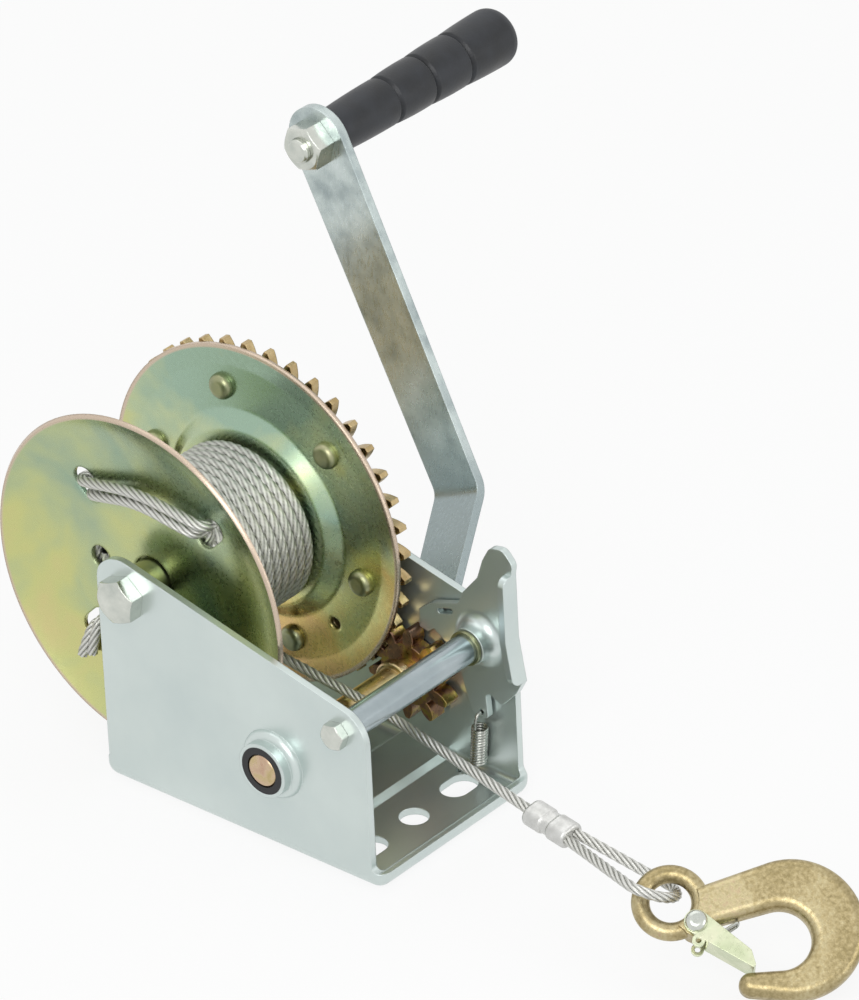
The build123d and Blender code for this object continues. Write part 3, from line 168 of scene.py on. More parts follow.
# Bright zinc plate on rolled steel: cool, satin, faint clouds from the bath and a fine rolled grain.
# Pressed aluminium and drawn spring wire look much the same, in their own tones
def zincPlate(name, setup):
    material, tree, shader = startMaterial(name, {"Metallic": setup["metal"]})
    place = addNode(tree, "ShaderNodeTexCoord").outputs["Object"]
    clouds = addNode(tree, "ShaderNodeTexNoise",
                     {"Vector": place, "Scale": scaleOf(setup["cloud"]), "Detail": 4.0, "Roughness": 0.55})
    tone = addNode(tree, "ShaderNodeValToRGB", {"Fac": clouds.outputs["Fac"]},
                   stops=list(zip(surfaceSetup["cloudStops"], setup["tones"])))
    colour = tone.outputs["Color"]
    # Painted shade: below the given heights the colour is drawn towards the darkest tone, so the crank is
    # darker below its bend
    if "paintedShadeHeights" in setup:
        shadeFullBelow, shadeNoneAbove = setup["paintedShadeHeights"]
        height = addNode(tree, "ShaderNodeSeparateXYZ", {0: place})
        low = addNode(tree, "ShaderNodeMapRange",
                      {"Value": height.outputs["Z"], "From Min": shadeNoneAbove, "From Max": shadeFullBelow})
        paintedShade = addNode(tree, "ShaderNodeMix",  # sockets 6 and 7 are its colours
                         {0: low.outputs["Result"], 6: colour, 7: hexColour(setup["tones"][0])},
                         data_type="RGBA")
        colour = paintedShade.outputs[2]
    tree.links.new(colour, shader.inputs["Base Color"])
    stretched = addNode(tree, "ShaderNodeMapping", {"Vector": place, "Scale": setup["stretch"]})
    grain = addNode(tree, "ShaderNodeTexNoise",
                    {"Vector": stretched.outputs["Vector"], "Scale": scaleOf(setup["grain"]), "Detail": 1.5})
    platedSkin(tree, shader, grain.outputs["Fac"], setup)
    return material


# Yellow chromate over zinc: a thin film that drifts from teal and straw to yellow and pink.
# On the drum the film is thicker towards the rim; painted shade makes it darker and greener higher up and
# lighter and yellower lower down, and a painted highlight runs pale round the edge
def yellowChromate(name, setup):
    material, tree, shader = startMaterial(name, {"Metallic": 1.0})
    place = addNode(tree, "ShaderNodeTexCoord").outputs["Object"]
    drift = addNode(tree, "ShaderNodeTexNoise",
                    {"Vector": place, "Scale": scaleOf(setup["drift"]), "Detail": 3.0, "Distortion": 0.8})
    mottle = addNode(tree, "ShaderNodeTexNoise",
                     {"Vector": place, "Scale": scaleOf(setup["mottle"]), "Detail": 2.0, "Roughness": 0.6})
    film = addNode(tree, "ShaderNodeMath",
                   {0: mottle.outputs["Fac"], 1: setup["share"], 2: drift.outputs["Fac"]},
                   operation="MULTIPLY_ADD")
    centred = addNode(tree, "ShaderNodeMath", {0: film.outputs["Value"], 1: 0.5 * setup["share"]},
                      operation="SUBTRACT")
    level = centred.outputs["Value"]
    if "drum" in setup:
        drum = setup["drum"]
        fromAxis = addNode(tree, "ShaderNodeMapping",
                           {"Vector": place, "Location": (0.0, -drum["axis"][0], -drum["axis"][1])})
        height = addNode(tree, "ShaderNodeSeparateXYZ", {0: fromAxis.outputs["Vector"]})
        # Painted shade: the level, and so the tint, rises lower down the drum, leaving it darker and greener
        # higher up
        shadedByHeight = addNode(tree, "ShaderNodeMath", {0: height.outputs["Z"], 1: -drum["heightShade"], 2: level},
                          operation="MULTIPLY_ADD")
        flat = addNode(tree, "ShaderNodeVectorMath",
                       {0: fromAxis.outputs["Vector"], 1: (0.0, 1.0, 1.0)}, operation="MULTIPLY")
        radius = addNode(tree, "ShaderNodeVectorMath", {0: flat.outputs["Vector"]}, operation="LENGTH")
        outer = addNode(tree, "ShaderNodeMapRange",
                        {"Value": radius.outputs["Value"], "From Min": drum["outer"][0],
                         "From Max": drum["outer"][1], "To Max": drum["outerFilm"]})
        thicker = addNode(tree, "ShaderNodeMath",
                          {0: shadedByHeight.outputs["Value"], 1: outer.outputs["Result"]})
        level = thicker.outputs["Value"]
    tint = addNode(tree, "ShaderNodeValToRGB", {"Fac": level}, stops=setup["tints"])
    colour = tint.outputs["Color"]
    if "drum" in setup:
        # Painted highlight: the colour at the rim's edge is drawn to a pale pink-white
        onRim = addNode(tree, "ShaderNodeMapRange",
                        {"Value": radius.outputs["Value"], "From Min": drum["rim"][0],
                         "From Max": drum["rim"][1]})
        rimHighlight = addNode(tree, "ShaderNodeMix",
                       {0: onRim.outputs["Result"], 6: colour, 7: hexColour(drum["rimHighlight"])},
                       data_type="RGBA")
        colour = rimHighlight.outputs[2]
    tree.links.new(colour, shader.inputs["Base Color"])
    grain = addNode(tree, "ShaderNodeTexNoise",
                    {"Vector": place, "Scale": scaleOf(setup["grain"]), "Detail": 1.5})
    platedSkin(tree, shader, grain.outputs["Fac"], setup)
    return material


# Moulded black plastic: a fine spark-eroded texture, slightly worn
def mouldedPlastic(name, setup):
    material, tree, shader = startMaterial(name, {"Metallic": 0.0, "IOR": 1.49})
    place = addNode(tree, "ShaderNodeTexCoord").outputs["Object"]
    wear = addNode(tree, "ShaderNodeTexNoise",
                   {"Vector": place, "Scale": scaleOf(setup["wear"]), "Detail": 5.0})
    tone = addNode(tree, "ShaderNodeValToRGB", {"Fac": wear.outputs["Fac"]},
                   stops=list(zip(surfaceSetup["wearStops"], setup["tones"])))
    tree.links.new(tone.outputs["Color"], shader.inputs["Base Color"])
    noiseLow, noiseHigh = surfaceSetup["noiseSpan"]
    rough = addNode(tree, "ShaderNodeMapRange",
                    {"Value": wear.outputs["Fac"], "From Min": noiseLow, "From Max": noiseHigh,
                     "To Min": setup["rough"][0], "To Max": setup["rough"][1]})
    tree.links.new(rough.outputs["Result"], shader.inputs["Roughness"])
    pits = addNode(tree, "ShaderNodeTexNoise",
                   {"Vector": place, "Scale": scaleOf(setup["pits"]), "Detail": 2.0})
    dents = addNode(tree, "ShaderNodeBump",
                    {"Height": pits.outputs["Fac"], "Strength": setup["bump"],
                     "Distance": surfaceSetup["bumpDepth"]})
    tree.links.new(dents.outputs["Normal"], shader.inputs["Normal"])
    return material


# Galvanised wire rope: dull silver wires, with painted shade that darkens them between the strands and
# between the wires. The wires are drawn fewer and wider than the real ones, so that they show
def ropeWire(name, setup):
    material, tree, shader = startMaterial(name, {"Metallic": 1.0})
    groove = addNode(tree, "ShaderNodeAttribute", attribute_name="groove")
    wires = addNode(tree, "ShaderNodeUVMap", uv_map="wires")
    across = addNode(tree, "ShaderNodeTexWave",
                     {"Vector": wires.outputs["UV"], "Scale": setup["waves"], "Distortion": 0.0},
                     wave_type="BANDS", bands_direction="Y")
    shade = addNode(tree, "ShaderNodeMath",
                    {0: across.outputs["Fac"], 1: 1 - setup["gapShade"], 2: setup["gapShade"]},
                    operation="MULTIPLY_ADD")
    # Painted shade: the colour is darker down in the grooves between strands and between the wires
    lit = addNode(tree, "ShaderNodeMath",
                  {0: shade.outputs["Value"], 1: groove.outputs["Fac"]}, operation="MULTIPLY")
    tone = addNode(tree, "ShaderNodeValToRGB", {"Fac": lit.outputs["Value"]}, stops=setup["tones"])
    tree.links.new(tone.outputs["Color"], shader.inputs["Base Color"])
    rough = addNode(tree, "ShaderNodeMapRange",
                    {"Value": lit.outputs["Value"], "To Min": setup["rough"][1], "To Max": setup["rough"][0]})
    tree.links.new(rough.outputs["Result"], shader.inputs["Roughness"])
    ridges = addNode(tree, "ShaderNodeBump",
                     {"Height": across.outputs["Fac"], "Strength": setup["bump"],
                      "Distance": surfaceSetup["bumpDepth"]})
    tree.links.new(ridges.outputs["Normal"], shader.inputs["Normal"])
    return material


# Sizes of clouds, grain, drift, mottle, wear and pits are in mm, other lengths in metres
flangeSetup = {
    "drift": 60.0, "mottle": 8.0, "share": 0.14, "grain": 2.0, "rough": (0.25, 0.31), "bump": 0.012,
    "edge": 0.0018}
# The drum's tint: its film thickens towards the rim, and the rim's pale colour is a painted highlight
drumFilmAndPaintedLight = {
    "axis": (0.053, 0.088),  # Y and Z
    "outer": (0.06, 0.0705), "outerFilm": 0.06, "rim": (0.0704, 0.0712), "rimHighlight": "#CDBBA8"}
finishes = {
    "zinc": zincPlate("zincPlatedSheet", {
        "tones": ("#C8D3D1", "#CFD9D6", "#D5DFDC"), "cloud": 50.0, "grain": 1.4, "metal": 0.8,
        "stretch": (1.0, 1.0, 0.4), "rough": (0.29, 0.33), "bump": 0.012}),
    "crank": zincPlate("zincPlatedBar", {
        "tones": ("#9CA8A9", "#C5D0CE", "#D8E0DF"), "cloud": 14.0, "grain": 1.2, "metal": 0.85,
        "paintedShadeHeights": (0.085, 0.115),  # heights round the bend: painted shade, darker below it
        "stretch": (1.0, 1.0, 0.3), "rough": (0.24, 0.36), "bump": 0.05}),
    "tube": zincPlate("zincPlatedTube", {
        "tones": ("#98A4A8", "#A6B1B4", "#B6BFC1"), "cloud": 20.0, "grain": 1.0, "metal": 0.9,
        "stretch": (0.1, 1.0, 1.0), "rough": (0.18, 0.26), "bump": 0.03}),
    "bolt": zincPlate("zincPlatedBolt", {
        "tones": ("#BCC1BA", "#CDD0C8", "#DCDED6"), "cloud": 8.0, "grain": 0.9, "metal": 0.95,
        "stretch": (1.0, 1.0, 1.0), "rough": (0.17, 0.25), "bump": 0.015}),
    # Painted shade by height on the flanges: the tint is darker and greener higher up
    "leftFlange": yellowChromate("yellowChromateLeftFlange", {
        **flangeSetup, "drum": {**drumFilmAndPaintedLight, "heightShade": 1.8},
        "tints": [(0.28, "#8FA896"), (0.42, "#A7B695"), (0.54, "#B6C090"), (0.68, "#C6C888"),
                  (0.85, "#D0C48C")]}),
    "rightFlange": yellowChromate("yellowChromateRightFlange", {
        **flangeSetup, "drum": {**drumFilmAndPaintedLight, "heightShade": 4.0},
        "tints": [(0.28, "#9DB6A2"), (0.42, "#B8C59F"), (0.54, "#CBCC8C"), (0.68, "#D8BF78"),
                  (0.85, "#DAB284")]}),
    "gear": yellowChromate("yellowChromateGear", {
        "drift": 14.0, "mottle": 3.0, "share": 0.4, "grain": 1.1, "rough": (0.24, 0.38), "bump": 0.05,
        "tints": [(0.3, "#AA9468"), (0.45, "#B8A278"), (0.6, "#C4B086"), (0.75, "#B8987A")]}),
    "rivet": yellowChromate("yellowChromateRivet", {
        "drift": 20.0, "mottle": 4.0, "share": 0.4, "grain": 1.2, "rough": (0.3, 0.42), "bump": 0.05,
        "tints": [(0.3, "#8A9076"), (0.5, "#A0A27E"), (0.65, "#AEAC8A"), (0.8, "#A2997E")]}),
    "shaft": yellowChromate("yellowChromateShaft", {
        "drift": 12.0, "mottle": 3.0, "share": 0.4, "grain": 1.0, "rough": (0.26, 0.36), "bump": 0.04,
        "tints": [(0.3, "#B4A272"), (0.48, "#C6B288"), (0.62, "#CDB498"), (0.8, "#BE9C86")]}),
    "pinion": yellowChromate("yellowChromatePinion", {
        "drift": 8.0, "mottle": 2.0, "share": 0.5, "grain": 1.0, "rough": (0.26, 0.42), "bump": 0.06,
        "tints": [(0.3, "#8C7060"), (0.45, "#A67E68"), (0.58, "#B99C5C"), (0.75, "#9C9450")]}),
    "hook": yellowChromate("yellowChromateForging", {
        "drift": 30.0, "mottle": 1.6, "share": 0.6, "grain": 1.2, "rough": (0.3, 0.46), "bump": 0.32,
        "tints": [(0.3, "#968862"), (0.45, "#AE9F78"), (0.6, "#BEB28C"), (0.78, "#B69E82")]}),
    "latch": yellowChromate("yellowChromateLatch", {
        "drift": 20.0, "mottle": 5.0, "share": 0.3, "grain": 1.6, "rough": (0.26, 0.34), "bump": 0.01,
        "edge": 0.0003,
        "tints": [(0.3, "#C4CDAA"), (0.5, "#D4D9BA"), (0.65, "#DADABE"), (0.8, "#D2C8AC")]}),
    "ferrule": zincPlate("pressedAluminium", {
        "tones": ("#C0C0BD", "#D0D0CD", "#DCDCDA"), "cloud": 4.0, "grain": 1.2, "metal": 0.9,
        "stretch": (1.0, 1.0, 1.0), "rough": (0.36, 0.5), "bump": 0.25}),
    "nylon": mouldedPlastic("nylonBush", {
        "tones": ("#121213", "#1D1D1F"), "wear": 10.0, "pits": 0.8, "rough": (0.42, 0.55), "bump": 0.15}),
    "grip": mouldedPlastic("mouldedGrip", {
        "tones": ("#16181B", "#2C2F35"), "wear": 12.0, "pits": 0.9, "rough": (0.34, 0.52), "bump": 0.3}),
    "spring": zincPlate("springWire", {
        "tones": ("#8E908A", "#AAACA6", "#C4C5C0"), "cloud": 4.0, "grain": 0.8, "metal": 1.0,
        "stretch": (1.0, 1.0, 1.0), "rough": (0.2, 0.32), "bump": 0.03}),
    "rope": ropeWire("galvanisedRope", {
        # the dark tone is painted shade in the rope's grooves
        "tones": [(0.07, "#3A3A37"), (0.42, "#B6B6B0"), (0.9, "#E0E0DB")], "waves": 1.0,
        "gapShade": 0.65,  # how light it is between two wires
        "rough": (0.28, 0.5), "bump": 0.4}),
}

nodeFinish = {
    "zinc": ["frame", "pawl"],
    "crank": ["crank_arm"],
    "tube": ["tie_tube"],
    "bolt": ["drum_washer", "crank_spacer", "crank_washer", "grip_bolt", "grip_washer", "shaft_clip",
             "latch_pin"],
    "leftFlange": ["left_flange", "drum_core"],
    "rightFlange": ["right_flange"],
    "gear": ["drum_gear"],
    "rivet": ["gear_rivets", "axle_sleeve", "tie_washer"],
    "shaft": ["pinion_shaft"],
    "pinion": ["pinion"],
    "hook": ["hook"],
    "latch": ["hook_latch"],
    "ferrule": ["ferrule"],
    "nylon": ["left_bush", "right_bush"],
    "grip": ["grip_cap"],
}
for finish, names in nodeFinish.items():
    for name in names:
        nodes[name].data.materials.clear()
        nodes[name].data.materials.append(finishes[finish])
print("finishes on", sum(len(names) for names in nodeFinish.values()), "nodes")


# How far each point of a line is from its start, along the line
def lengthAlong(line):
    return np.concatenate([[0.0], np.cumsum(np.linalg.norm(np.diff(line, axis=0), axis=1))])


# The line of an order-3 NURBS with these control points, read back at even steps
def routeLine(name, points, step):
    curve = bpy.data.curves.new(name, "CURVE")
    curve.dimensions = "3D"
    curve.resolution_u = 32
    spline = curve.splines.new("NURBS")
    spline.points.add(len(points) - 1)
    spline.points.foreach_set("co", np.column_stack([points, np.ones(len(points))]).ravel())
    spline.order_u = 3
    spline.use_endpoint_u = True
    holder = bpy.data.objects.new(name, curve)
    mesh = bpy.data.meshes.new_from_object(holder)
    line = np.empty(3 * len(mesh.vertices))
    mesh.vertices.foreach_get("co", line)
    line = line.reshape(-1, 3)
    bpy.data.meshes.remove(mesh)
    bpy.data.objects.remove(holder)
    bpy.data.curves.remove(curve)
    along = lengthAlong(line)
    marks = np.linspace(0.0, along[-1], max(2, round(along[-1] / step) + 1))
    return np.column_stack([np.interp(marks, along, line[:, k]) for k in range(3)])


# Rings round a line: each point stands off the line by its reach, at its angle from the side, which is
# square to the line and to a reference way, to the lift, which is square to both line and side
def ringsAlong(line, reference, angle, reach):
    tangent = np.gradient(line, axis=0)
    tangent /= np.linalg.norm(tangent, axis=1)[:, None]
    side = np.cross(tangent, np.broadcast_to(reference, tangent.shape))
    side /= np.linalg.norm(side, axis=1)[:, None]
    lift = np.cross(tangent, side)
    way = (np.cos(angle)[None, :, None] * side[:, None] + np.sin(angle)[None, :, None] * lift[:, None])
    return line[:, None] + reach[..., None] * way


# A closed mesh from a grid of rings, ended by flat caps or joined end to end. Its UV map is mm along by
# wires round. Edges sharper than the angle stay sharp
def ringMesh(name, grid, along, wires=1.0, groove=None, joined=False, sharp=40.0):
    rings, around = grid.shape[:2]
    spans = rings if joined else rings - 1
    ring, column = np.meshgrid(np.arange(spans), np.arange(around), indexing="ij")
    after = (column + 1) % around
    follow = (ring + 1) % rings
    quads = np.stack([ring * around + column, ring * around + after,
                      follow * around + after, follow * around + column], axis=-1).reshape(-1, 4)
    caps = [list(range(around))[::-1], list(range((rings - 1) * around, rings * around))]
    if joined:
        caps = []
    mesh = bpy.data.meshes.new(name)
    mesh.from_pydata(grid.reshape(-1, 3), [], quads.tolist() + caps)
    u = np.stack([along[ring], along[ring], along[follow], along[follow]], axis=-1) / millimetre
    v = np.stack([column, column + 1, column + 1, column], axis=-1) * wires / around
    corners = np.concatenate([np.stack([u, v], axis=-1).reshape(-1, 2), np.zeros((len(caps) * around, 2))])
    mesh.uv_layers.new(name="wires").data.foreach_set("uv", corners.ravel())
    if groove is not None:
        mesh.attributes.new("groove", "FLOAT", "POINT").data.foreach_set("value", groove.ravel())
    mesh.polygons.foreach_set("use_smooth", np.ones(len(mesh.polygons), dtype=bool))
    mesh.set_sharp_from_angle(angle=math.radians(sharp))
    mesh.update()
    return mesh


def showPiece(name, mesh, finish, slot, body, *replaced):
    piece = bpy.data.objects.new(name, mesh)
    mesh.materials.append(finishes[finish])
    scene.collection.objects.link(piece)
    if body:
        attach(piece, body)
    if replaced:
        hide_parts(*replaced)
    return piece


# Rope: round strands side by side on a circle, turning once in each lay length.
# The ring's radius at an angle is the far side of the nearest strand's circle
ropeSetup = {
    "radius": 0.0021, "strands": 6, "lay": 0.025, "wires": 14.0,
    "squeeze": 1.03,  # a strand's radius over half the way to the next one
    "around": 48, "step": 0.0007,
}


def ropePiece(name, line, reference, body, *replaced, around=ropeSetup["around"], radius=ropeSetup["radius"]):
    along = lengthAlong(line)
    half = math.pi / ropeSetup["strands"]
    strandCircle = radius / (1 + ropeSetup["squeeze"] * math.sin(half))
    strand = radius - strandCircle
    angle = 2 * math.pi * np.arange(around) / around
    turned = angle[None, :] - 2 * math.pi * along[:, None] / ropeSetup["lay"]
    fromStrand = (turned + half) % (2 * half) - half
    offCentre = strandCircle * np.sin(fromStrand)
    reach = strandCircle * np.cos(fromStrand) + np.sqrt(np.maximum(strand**2 - offCentre**2, 0.0))
    # how far out a point stands, which the rope's finish uses for painted shade in the grooves
    groove = (reach - reach.min()) / (reach.max() - reach.min())
    grid = ringsAlong(line, reference, angle, reach)
    mesh = ringMesh(name, grid, along, ropeSetup["wires"], groove)
    return showPiece(name, mesh, "rope", "rope", body, *replaced), along[-1]


# Free rope, from under the drum to the ferrule, and its loop through the hook's eye
runRoute = {
    "points": [(0.0054, 0.053, 0.0505), (-0.002, -0.015, 0.0503), (-0.0053, -0.0449, 0.0501),
               (-0.0155, -0.1218, 0.042)],
    "reference": (0.0, 0.0, 1.0),
}
runLine = routeLine("runRoute", runRoute["points"], ropeSetup["step"])
ropeRun, runLength = ropePiece("ropeRun", runLine, runRoute["reference"], "frame", "cable_run")

loopRoute = {
    "points": [(-0.02044, -0.14353, 0.03998), (-0.02074, -0.14601, 0.03981), (-0.0302, -0.17369, 0.04202),
               (-0.03335, -0.18291, 0.04276), (-0.03392, -0.18767, 0.04243),
               (-0.02866, -0.19493, 0.03897), (-0.02006, -0.19567, 0.03475), (-0.01316, -0.18946, 0.03223),
               (-0.01259, -0.1847, 0.03256), (-0.01349, -0.17518, 0.03461), (-0.01618, -0.14663, 0.04077),
               (-0.01588, -0.14415, 0.04094)],
    "across": (-0.89481, 0.07709, 0.43974),  # the loop's width
    "along": (-0.11937, -0.99043, -0.06927),  # from the ferrule to the eye
}
loopLine = routeLine("loopRoute", loopRoute["points"], ropeSetup["step"])
loopNormal = np.cross(loopRoute["across"], loopRoute["along"])
ropeLoop, loopLength = ropePiece("ropeLoop", loopLine, loopNormal, "frame", "cable_loop")
print("rope run", round(runLength, 3), "m, loop", round(loopLength, 3), "m")

# Rope on the drum: the outer layer, and the layer under it wound the other way.
# A turn is a circle round the drum's axis that moves along X by one pitch
windingSetup = {
    "axis": (0.053, 0.088),  # the drum's Y and Z
    "first": -0.0251, "last": 0.0241, "turns": 10.75,
    "reference": (1.0, 0.0, 0.0),
    "layers": {
        "ropeWinding": {"node": "cable_winding", "radius": 0.0329, "rope": 0.00228, "start": -20.0,
                        "hand": 1.0, "around": 36, "step": 0.0012},
        "ropeUnderLayer": {"node": "cable_inner_layers", "radius": 0.0283, "rope": 0.00218, "start": 0.0,
                           "hand": -1.0, "around": 24, "step": 0.0018},
    },
}


def windingLine(setup, layer):
    count = round(setup["turns"] * 2 * math.pi * layer["radius"] / layer["step"])
    share = np.linspace(0.0, 1.0, count)
    angle = math.radians(layer["start"]) + layer["hand"] * 2 * math.pi * setup["turns"] * share
    x = setup["first"] + (setup["last"] - setup["first"]) * share
    y = setup["axis"][0] + layer["radius"] * np.cos(angle)
    z = setup["axis"][1] + layer["radius"] * np.sin(angle)
    return np.column_stack([x, y, z])


for name, layer in windingSetup["layers"].items():
    ropePiece(name, windingLine(windingSetup, layer), windingSetup["reference"], "drum", layer["node"],
              around=layer["around"], radius=layer["rope"])

# The rope's fixed end: two strands that leave the winding, cross the left flange from slot to slot and
# go back in, and two tails below. The reference way changes from one side of the sheet to the other
anchorSetup = {
    "rope": 0.0022, "sheet": (-0.031, -0.027),
    "strands": {
        "ropeFixedUpper": {
            "inside": (0.0, 0.0, 1.0), "outside": (0.0, 0.0, 1.0), "nodes": [],
            "points": [(-0.025, 0.0695, 0.11658), (-0.025, 0.07315, 0.11903), (-0.025, 0.07947, 0.12188),
                       (-0.025, 0.08645, 0.12145), (-0.032, 0.08645, 0.12145), (-0.0332, 0.07865, 0.1234),
                       (-0.0362, 0.053, 0.12995), (-0.0345, 0.02955, 0.12585), (-0.0325, 0.02127, 0.12313),
                       (-0.025, 0.02127, 0.12313), (-0.025, 0.02895, 0.12365), (-0.025, 0.03506, 0.12036),
                       (-0.025, 0.03853, 0.11766)]},
        "ropeFixedLower": {
            "inside": (0.0, 1.0, 0.0), "outside": (0.0, 0.0, 1.0), "nodes": [],
            "points": [(-0.025, 0.07936, 0.10786), (-0.025, 0.0813, 0.1126), (-0.025, 0.08178, 0.11678),
                       (-0.032, 0.08178, 0.11678), (-0.0332, 0.0741, 0.1189), (-0.0362, 0.053, 0.12528),
                       (-0.0345, 0.03395, 0.1212), (-0.0325, 0.02593, 0.11847), (-0.025, 0.02593, 0.11847),
                       (-0.025, 0.02602, 0.11405), (-0.025, 0.02772, 0.10921)]},
        "ropeTail": {
            "inside": (0.0, 1.0, 0.0), "outside": (0.0, 1.0, 0.0), "nodes": ["cable_anchor"],
            "points": [(-0.025, 0.07936, 0.06814), (-0.025, 0.08168, 0.06307), (-0.025, 0.08263, 0.05837),
                       (-0.032, 0.08263, 0.05837), (-0.0332, 0.0848, 0.0442)]},
        "ropeTailOuter": {
            "inside": (0.0, 0.0, 1.0), "outside": (0.0, 1.0, 0.0), "nodes": [],
            "points": [(-0.025, 0.069, 0.0591), (-0.025, 0.0726, 0.0566), (-0.025, 0.0789, 0.0537),
                       (-0.025, 0.0859, 0.0551), (-0.032, 0.0859, 0.0551), (-0.0342, 0.0891, 0.0425)]},
    },
}
for name, strand in anchorSetup["strands"].items():
    line = routeLine(name + "Route", strand["points"], ropeSetup["step"])
    inward = np.interp(line[:, 0], anchorSetup["sheet"], [0.0, 1.0])[:, None]
    reference = inward * np.array(strand["inside"]) + (1 - inward) * np.array(strand["outside"])
    ropePiece(name, line, reference, "drum", *strand["nodes"], radius=anchorSetup["rope"])
print("rope on the drum laid")

# Spring wire: a round section carried along a line
wireSetup = {"radius": 0.0006, "sides": 14, "step": 0.0003}


def wirePiece(name, line, reference, node):
    angle = 2 * math.pi * np.arange(wireSetup["sides"]) / wireSetup["sides"]
    reach = np.full((len(line), wireSetup["sides"]), wireSetup["radius"])
    mesh = ringMesh(name, ringsAlong(line, reference, angle, reach), lengthAlong(line))
    return showPiece(name, mesh, "spring", "spring", None, node)


# Pawl spring: through the tray, close wound, leaning to the leg, with an open loop into its hole.
# The coil is a circle that moves from its low to its high point, and the wire's reference way points
# from the coil's middle line
pawlSpringSetup = {
    "radius": 0.0029, "turns": 13, "perTurn": 24,
    "low": (0.0384, -0.0496, 0.0085), "high": (0.0384, -0.0512, 0.0252),
    "foot": [(0.0355, -0.0421, 0.0006), (0.0355, -0.0421, 0.0082)],
    "loop": [(0.0349, -0.0518, 0.0266), (0.0344, -0.0522, 0.0296), (0.0362, -0.0522, 0.0325),
             (0.0382, -0.0522, 0.0322), (0.0402, -0.0522, 0.0322)],
    "loopHeight": 0.0293,  # of the loop's middle
    "blend": [(0.0384, -0.0496, 0.008), (0.0384, -0.0512, 0.0255)],
}
coilLow, coilHigh = np.array(pawlSpringSetup["low"]), np.array(pawlSpringSetup["high"])
count = pawlSpringSetup["turns"] * pawlSpringSetup["perTurn"] + 1
share = np.linspace(0.0, 1.0, count)[:, None]
angle = math.pi + 2 * math.pi * pawlSpringSetup["turns"] * share
circle = pawlSpringSetup["radius"] * np.hstack([np.cos(angle), np.sin(angle), 0 * angle])
coil = coilLow * (1 - share) + coilHigh * share + circle
springRoute = np.vstack([pawlSpringSetup["foot"], coil, pawlSpringSetup["loop"]])
springLine = routeLine("pawlSpringRoute", springRoute, wireSetup["step"])
springHeight = springLine[:, 2]
springCentre = np.column_stack([
    np.full(len(springLine), coilLow[0]),
    np.interp(springHeight, [coilLow[2], coilHigh[2]], [coilLow[1], coilHigh[1]]),
    np.minimum(springHeight, pawlSpringSetup["loopHeight"])])
pawlSpring = wirePiece("pawlSpring", springLine, springLine - springCentre, "pawl_spring")
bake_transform(pawlSpring)

# Latch spring: a hairpin from the latch's floor round the lug to the underside of the shank.
# One leg is drawn in the latch's plane, and the other is its mirror image
latchSpringSetup = {
    "eye": (-0.022, -0.1938, 0.0327), "normal": (-0.463, -0.430, 0.775), "along": (0.643, -0.7645, -0.040),
    "pivot": (0.0093, -0.0091), "angle": -37.0,
    "leg": [(21.0, 0.2), (14.0, -0.6), (8.0, -1.2), (9.6, 3.6), (11.4, 8.6), (11.9, 10.3)],  # mm
    "half": 2.7,  # mm, half the distance between the legs
    "reference": (0.35, -0.1),  # the wire's reference way, in the latch's plane
}
normal = np.array(latchSpringSetup["normal"])
normal /= np.linalg.norm(normal)
planeX = np.array(latchSpringSetup["along"]) - normal * (normal @ np.array(latchSpringSetup["along"]))
planeX /= np.linalg.norm(planeX)
planeY = np.cross(normal, planeX)
lean = math.radians(latchSpringSetup["angle"])
latchX = math.cos(lean) * planeX + math.sin(lean) * planeY
latchY = np.cross(normal, latchX)
latchOrigin = (np.array(latchSpringSetup["eye"]) + latchSpringSetup["pivot"][0] * planeX
               + latchSpringSetup["pivot"][1] * planeY)
leg = np.array(latchSpringSetup["leg"])
offPlane = np.full((len(leg), 1), latchSpringSetup["half"])
hairpin = np.vstack([np.hstack([leg, offPlane]), np.hstack([leg, -offPlane])[::-1]])
hairpinRoute = latchOrigin + hairpin @ np.array([latchX, latchY, normal]) * millimetre
hairpinLine = routeLine("latchSpringRoute", hairpinRoute, wireSetup["step"])
hairpinWay = latchX * latchSpringSetup["reference"][0] + latchY * latchSpringSetup["reference"][1]
latchSpring = wirePiece("latchSpring", hairpinLine, hairpinLine - hairpinRoute.mean(axis=0) + hairpinWay,
                        "latch_spring")
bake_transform(latchSpring)
print("springs wound")


# Turned pieces: radii in rows along X, carried round an axis parallel to X. With a width across flats
# they are cut to a hexagon: the radius is the lesser of the row's and half the width over the cosine of
# the angle from the nearest flat
def turnedGrid(axis, x, radius, around, flats=None, turn=0.0):
    angle = 2 * math.pi * np.arange(around) / around
    reach = np.broadcast_to(radius, (len(x), around))
    if flats:
        fromFlat = (angle - math.radians(turn) + math.pi / 6) % (math.pi / 3) - math.pi / 6
        reach = np.minimum(reach, 0.5 * flats / np.cos(fromFlat))
    return np.stack([np.broadcast_to(x[:, None], reach.shape),
                     axis[0] + reach * np.cos(angle), axis[1] + reach * np.sin(angle)], axis=-1)


# Grip: a cone with a slight crown between V grooves and a round at the far end; the bore and the
# cap's recess close the profile
gripSetup = {
    "axis": (0.06692, 0.22117),  # Y and Z
    "near": 0.1, "far": 0.2027, "nearRadius": 0.0092, "farRadius": 0.0122, "round": 0.0052, "tuck": 0.62,
    "grooves": (0.1327, 0.1535, 0.1744), "depth": 0.0013, "half": 0.0014, "grooveCurve": 1.3,
    "crown": 0.0003, "edge": 0.0006, "bore": 0.0051, "recess": (0.1872, 0.00845),
    "rows": 360, "around": 96, "sharp": 50.0,
}


